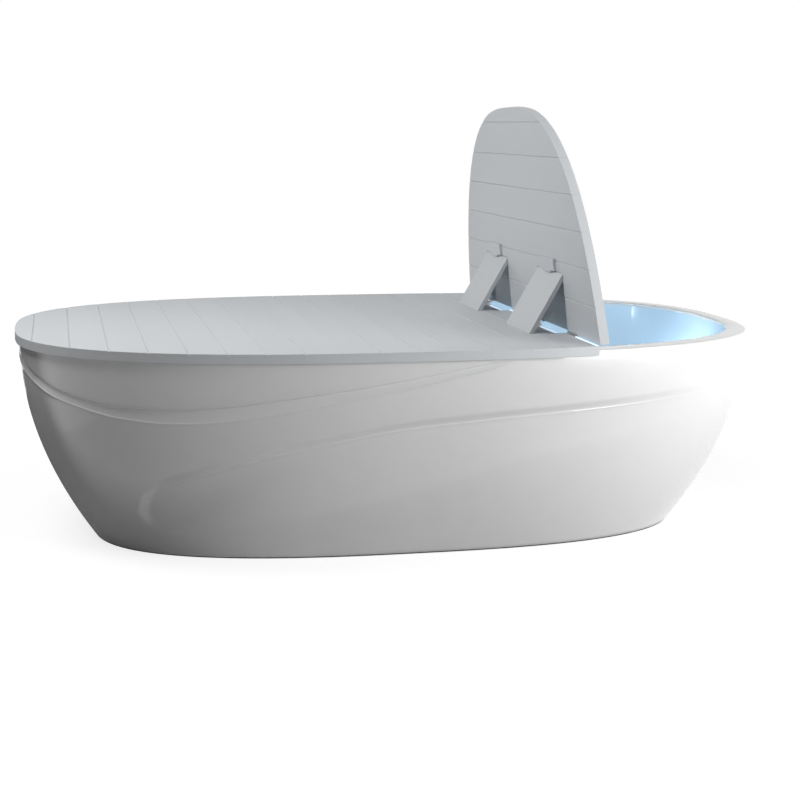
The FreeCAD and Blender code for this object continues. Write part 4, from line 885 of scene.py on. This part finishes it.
@dataclass
class Studio:
    """Pale floor, white surround, two glowing flags on the foot side that only paint a dark-to-pale
    reflection on the shell, and four softboxes.
    """

    floor_half: float = 14.0
    floor_colour: str = "#9c9c9c"
    # how bright the floor looks close to the tank, and from where to where it clears to white
    floor_glow: float = 0.8
    shadow_reach: tuple[float, float] = (1.3, 2.6)
    foot_half: tuple[float, float] = (0.924, 0.468)
    foot_power: float = 2.7
    surround: float = 0.1
    # the flags' glow paints the shell's reflection on the foot side: pale near the front, dark
    # behind
    flag_place: float = -1.6
    flag_near: float = -1.02
    flag_far: float = 1.9
    flag_height: float = 1.4
    flag_toe: float = -0.3
    toe_fade: tuple[float, float] = (-0.9, -0.3)
    flag_fade_way: tuple[float, float, float] = (1.0, 1.6, 0.0)
    flag_fade: tuple[float, float] = (-1.95, -1.4)
    flag_dark: float = 0.12
    flag_lift: float = 0.002
    standing_glow: float = 1.3
    lying_glow: float = 1.0
    lamps: tuple[Softbox, ...] = (
        Softbox("head_softbox", (2.3, -2.3, 1.1), (0.5, 0.0, 0.4), (1.8, 2.2), 82.0),
        Softbox("top_softbox", (0.3, 0.0, 4.2), (0.0, 0.0, 0.4), (4.0, 3.0), 14.0),
        Softbox("foot_softbox", (-1.7, -0.4, 2.6), (0.45, 0.0, 0.9), (1.2, 1.2), 38.0),
        Softbox("back_softbox", (0.2, 3.6, 0.55), (0.0, 0.0, 0.3), (3.2, 1.0), 60.0, False),
    )

    @staticmethod
    def looked_at(tree: bpy.types.NodeTree, ray: bpy.types.Node) -> bpy.types.NodeSocket:
        """Tell rays that look at a surface from rays that only carry its light.

        Args:
            tree: Node tree of the surface.
            ray: Its light path node.

        Returns:
            1 for the camera, for mirrors and for glass, and 0 for soft light.
        """
        sharp = add(
            tree,
            "ShaderNodeMath",
            {"operation": "MAXIMUM"},
            {0: ray.outputs["Is Glossy Ray"], 1: ray.outputs["Is Transmission Ray"]},
        )
        both = {0: ray.outputs["Is Camera Ray"], 1: sharp.outputs[0]}
        return add(tree, "ShaderNodeMath", {"operation": "MAXIMUM"}, both).outputs[0]

    @staticmethod
    def faded(
        tree: bpy.types.NodeTree,
        value: bpy.types.NodeSocket,
        reach: tuple[float, float],
        ends: tuple[float, float],
    ) -> bpy.types.NodeSocket:
        """Ease from one brightness to another.

        Args:
            tree: Node tree of the surface.
            value: What the brightness follows.
            reach: Values at which the change starts and ends.
            ends: Brightness before and after it.

        Returns:
            The brightness.
        """
        settings = {
            "interpolation_type": "SMOOTHSTEP",
            "From Min": reach[0],
            "From Max": reach[1],
            "To Min": ends[0],
            "To Max": ends[1],
        }
        return add(tree, "ShaderNodeMapRange", settings, {"Value": value}).outputs["Result"]

    def beside_tank(
        self, tree: bpy.types.NodeTree, place: bpy.types.NodeSocket
    ) -> bpy.types.NodeSocket:
        """Tell the open floor from the floor inside the foot of the shell.

        Args:
            tree: Node tree of the floor.
            place: Place on the floor, from the middle of the tank.

        Returns:
            1 beside the tank and 0 under it, where the floor stays dark.
        """
        scale = (1 / self.foot_half[0], 1 / self.foot_half[1], 1.0)
        scaled = add(tree, "ShaderNodeMapping", {"Scale": scale}, {"Vector": place})
        parts = add(tree, "ShaderNodeSeparateXYZ", None, {0: scaled.outputs[0]})
        shares = []
        for axis in range(2):
            size = add(tree, "ShaderNodeMath", {"operation": "ABSOLUTE"}, {0: parts.outputs[axis]})
            grown = add(tree, "ShaderNodeMath", {"operation": "POWER"}, {0: size.outputs[0]})
            grown.inputs[1].default_value = self.foot_power
            shares.append(grown.outputs[0])
        total = add(tree, "ShaderNodeMath", {"operation": "ADD"}, dict(enumerate(shares)))
        beside = add(tree, "ShaderNodeMath", {"operation": "GREATER_THAN"}, {0: total.outputs[0]})
        beside.inputs[1].default_value = 1.0
        return beside.outputs[0]

    def floor_material(self) -> bpy.types.Material:
        """Make the matt floor that the camera, metal and glass see at a set brightness.

        Returns:
            The material.
        """
        made = empty_material("matt_floor")
        tree = made.node_tree
        matt = add(tree, "ShaderNodeBsdfDiffuse", {"Color": linear(self.floor_colour)})
        place = add(tree, "ShaderNodeTexCoord").outputs["Object"]
        away = add(tree, "ShaderNodeVectorMath", {"operation": "LENGTH"}, {0: place})
        ends = (self.floor_glow, 1.0)
        clearing = self.faded(tree, away.outputs["Value"], self.shadow_reach, ends)
        lit = {0: clearing, 1: self.beside_tank(tree, place)}
        open_floor = add(tree, "ShaderNodeMath", {"operation": "MULTIPLY"}, lit)
        white = add(tree, "ShaderNodeEmission", None, {"Strength": open_floor.outputs[0]})
        both = add(tree, "ShaderNodeAddShader", None, {0: matt.outputs[0], 1: white.outputs[0]})
        looked_at = self.looked_at(tree, add(tree, "ShaderNodeLightPath"))
        sides = {0: looked_at, 1: matt.outputs[0], 2: both.outputs[0]}
        choice = add(tree, "ShaderNodeMixShader", None, sides)
        add(tree, "ShaderNodeOutputMaterial", None, {"Surface": choice.outputs[0]})
        return made

    def floor(self) -> None:
        """Lay the pale floor."""
        shape = bmesh.new()
        bmesh.ops.create_grid(shape, x_segments=1, y_segments=1, size=self.floor_half)
        mesh = bpy.data.meshes.new("studio_floor")
        shape.to_mesh(mesh)
        shape.free()
        mesh.materials.append(self.floor_material())
        floor = bpy.data.objects.new("studio_floor", mesh)
        bpy.context.scene.collection.objects.link(floor)

    def graded(self, name: str, near_glow: float) -> bpy.types.Material:
        """Make a flag's glow, a painted reflection in the shell: pale at its near edge and dark
        behind the foot end.

        Args:
            name: Name of the material.
            near_glow: How bright its near edge is, where 1 is plain white.

        Returns:
            The material.
        """
        made = empty_material(name)
        tree = made.node_tree
        place = add(tree, "ShaderNodeTexCoord").outputs["Object"]
        across = add(tree, "ShaderNodeVectorMath", {"operation": "DOT_PRODUCT"}, {0: place})
        across.inputs[1].default_value = self.flag_fade_way
        ends = (near_glow, self.flag_dark)
        near = self.faded(tree, across.outputs["Value"], self.flag_fade, ends)
        parts = add(tree, "ShaderNodeSeparateXYZ", None, {0: place})
        toe = self.faded(tree, parts.outputs["X"], self.toe_fade, (self.flag_dark, 1.0))
        tone = add(tree, "ShaderNodeMath", {"operation": "MAXIMUM"}, {0: near, 1: toe})
        glow = add(tree, "ShaderNodeEmission", None, {"Strength": tone.outputs[0]})
        add(tree, "ShaderNodeOutputMaterial", None, {"Surface": glow.outputs[0]})
        return made

    def flags(self) -> None:
        """Set up the standing and the lying flag, which only the glossy surfaces see."""
        middle = (self.flag_near + self.flag_far) / 2
        length = self.flag_far - self.flag_near
        tread = self.flag_toe - self.flag_place
        upright = (
            Matrix.Translation((self.flag_place, middle, self.flag_height / 2))
            @ Matrix.Rotation(math.radians(90), 4, "Y")
            @ Matrix.Diagonal((self.flag_height, length, 1.0, 1.0))
        )
        level = Matrix.Translation((self.flag_place + tread / 2, middle, self.flag_lift))
        lying = level @ Matrix.Diagonal((tread, length, 1.0, 1.0))
        kinds = (("standing", upright, self.standing_glow), ("lying", lying, self.lying_glow))
        for name, placed, glow in kinds:
            shape = bmesh.new()
            bmesh.ops.create_grid(shape, x_segments=1, y_segments=1, size=0.5, matrix=placed)
            mesh = bpy.data.meshes.new(f"{name}_flag")
            shape.to_mesh(mesh)
            shape.free()
            mesh.materials.append(self.graded(f"{name}_flag_painted_reflection", glow))
            flag = bpy.data.objects.new(f"{name}_flag", mesh)
            # hidden from the camera, soft light and shadows, the flags only paint reflections in
            # the glossy shell
            flag.visible_camera = flag.visible_diffuse = flag.visible_shadow = False
            bpy.context.scene.collection.objects.link(flag)

    def surroundings(self) -> None:
        """Make the world plain white to the eye and a softer grey as light."""
        world = bpy.data.worlds.new("studio_surround")
        bpy.context.scene.world = world
        world.use_nodes = True
        tree = world.node_tree
        tree.nodes.clear()
        seen = self.looked_at(tree, add(tree, "ShaderNodeLightPath"))
        plain = {"Color": linear(WHITE), "Strength": 1.0}
        soft = add(tree, "ShaderNodeBackground", plain | {"Strength": self.surround})
        white = add(tree, "ShaderNodeBackground", plain)
        sides = {0: seen, 1: soft.outputs[0], 2: white.outputs[0]}
        mixed = add(tree, "ShaderNodeMixShader", None, sides)
        add(tree, "ShaderNodeOutputWorld", None, {"Surface": mixed.outputs[0]})

    def build(self) -> None:
        """Set up the floor, the flags, the surround and the lamps."""
        self.floor()
        self.flags()
        self.surroundings()
        for lamp in self.lamps:
            lamp.hang()
        LOG.info("studio with %d softboxes", len(self.lamps))


@dataclass
class Viewpoint:
    """The camera, below eye height in front of the tank and turned to its head end."""

    place: tuple[float, float, float] = (-1.0313, -4.5517, 1.2518)
    yaw: float = 0.18682
    pitch: float = 0.09254
    roll: float = 0.0042
    lens_mm: float = 66.11
    sensor_mm: float = 36.0
    shift: tuple[float, float] = (0.085, -0.175)

    def build(self) -> bpy.types.Object:
        """Set up the camera.

        Returns:
            The camera.
        """
        ahead = Vector(
            (
                math.sin(self.yaw) * math.cos(self.pitch),
                math.cos(self.yaw) * math.cos(self.pitch),
                -math.sin(self.pitch),
            )
        )
        right = Vector((math.cos(self.yaw), -math.sin(self.yaw), 0.0))
        up = right.cross(ahead)
        level = Matrix((right, up, -ahead)).transposed()
        lens = bpy.data.cameras.new("studio_camera")
        lens.lens = self.lens_mm
        lens.sensor_width = self.sensor_mm
        lens.shift_x, lens.shift_y = self.shift
        lens.clip_end = 100.0
        camera = bpy.data.objects.new("studio_camera", lens)
        turned = level @ Matrix.Rotation(self.roll, 3, "Z")
        camera.matrix_world = Matrix.Translation(self.place) @ turned.to_4x4()
        bpy.context.scene.collection.objects.link(camera)
        bpy.context.scene.camera = camera
        return camera


def main() -> None:
    """Build and dress the tank, light it, and set up the camera."""
    logging.basicConfig(level=logging.INFO, format="%(message)s")
    bpy.context.scene.view_settings.view_transform = "Standard"
    Shell().build()
    basin = Basin()
    basin.dress()
    basin.light()
    Cover().dress()
    # the fold strip's glow is painted light from the basin, not a lamp
    FoldGapGlow().build()
    for assembly in (HeadPanel(), Underframe(), WaterWorks(), Controls()):
        assembly.dress()
    Studio().build()
    Viewpoint().build()
    LOG.info("sizes written")


if __name__ == "__main__":
    main()
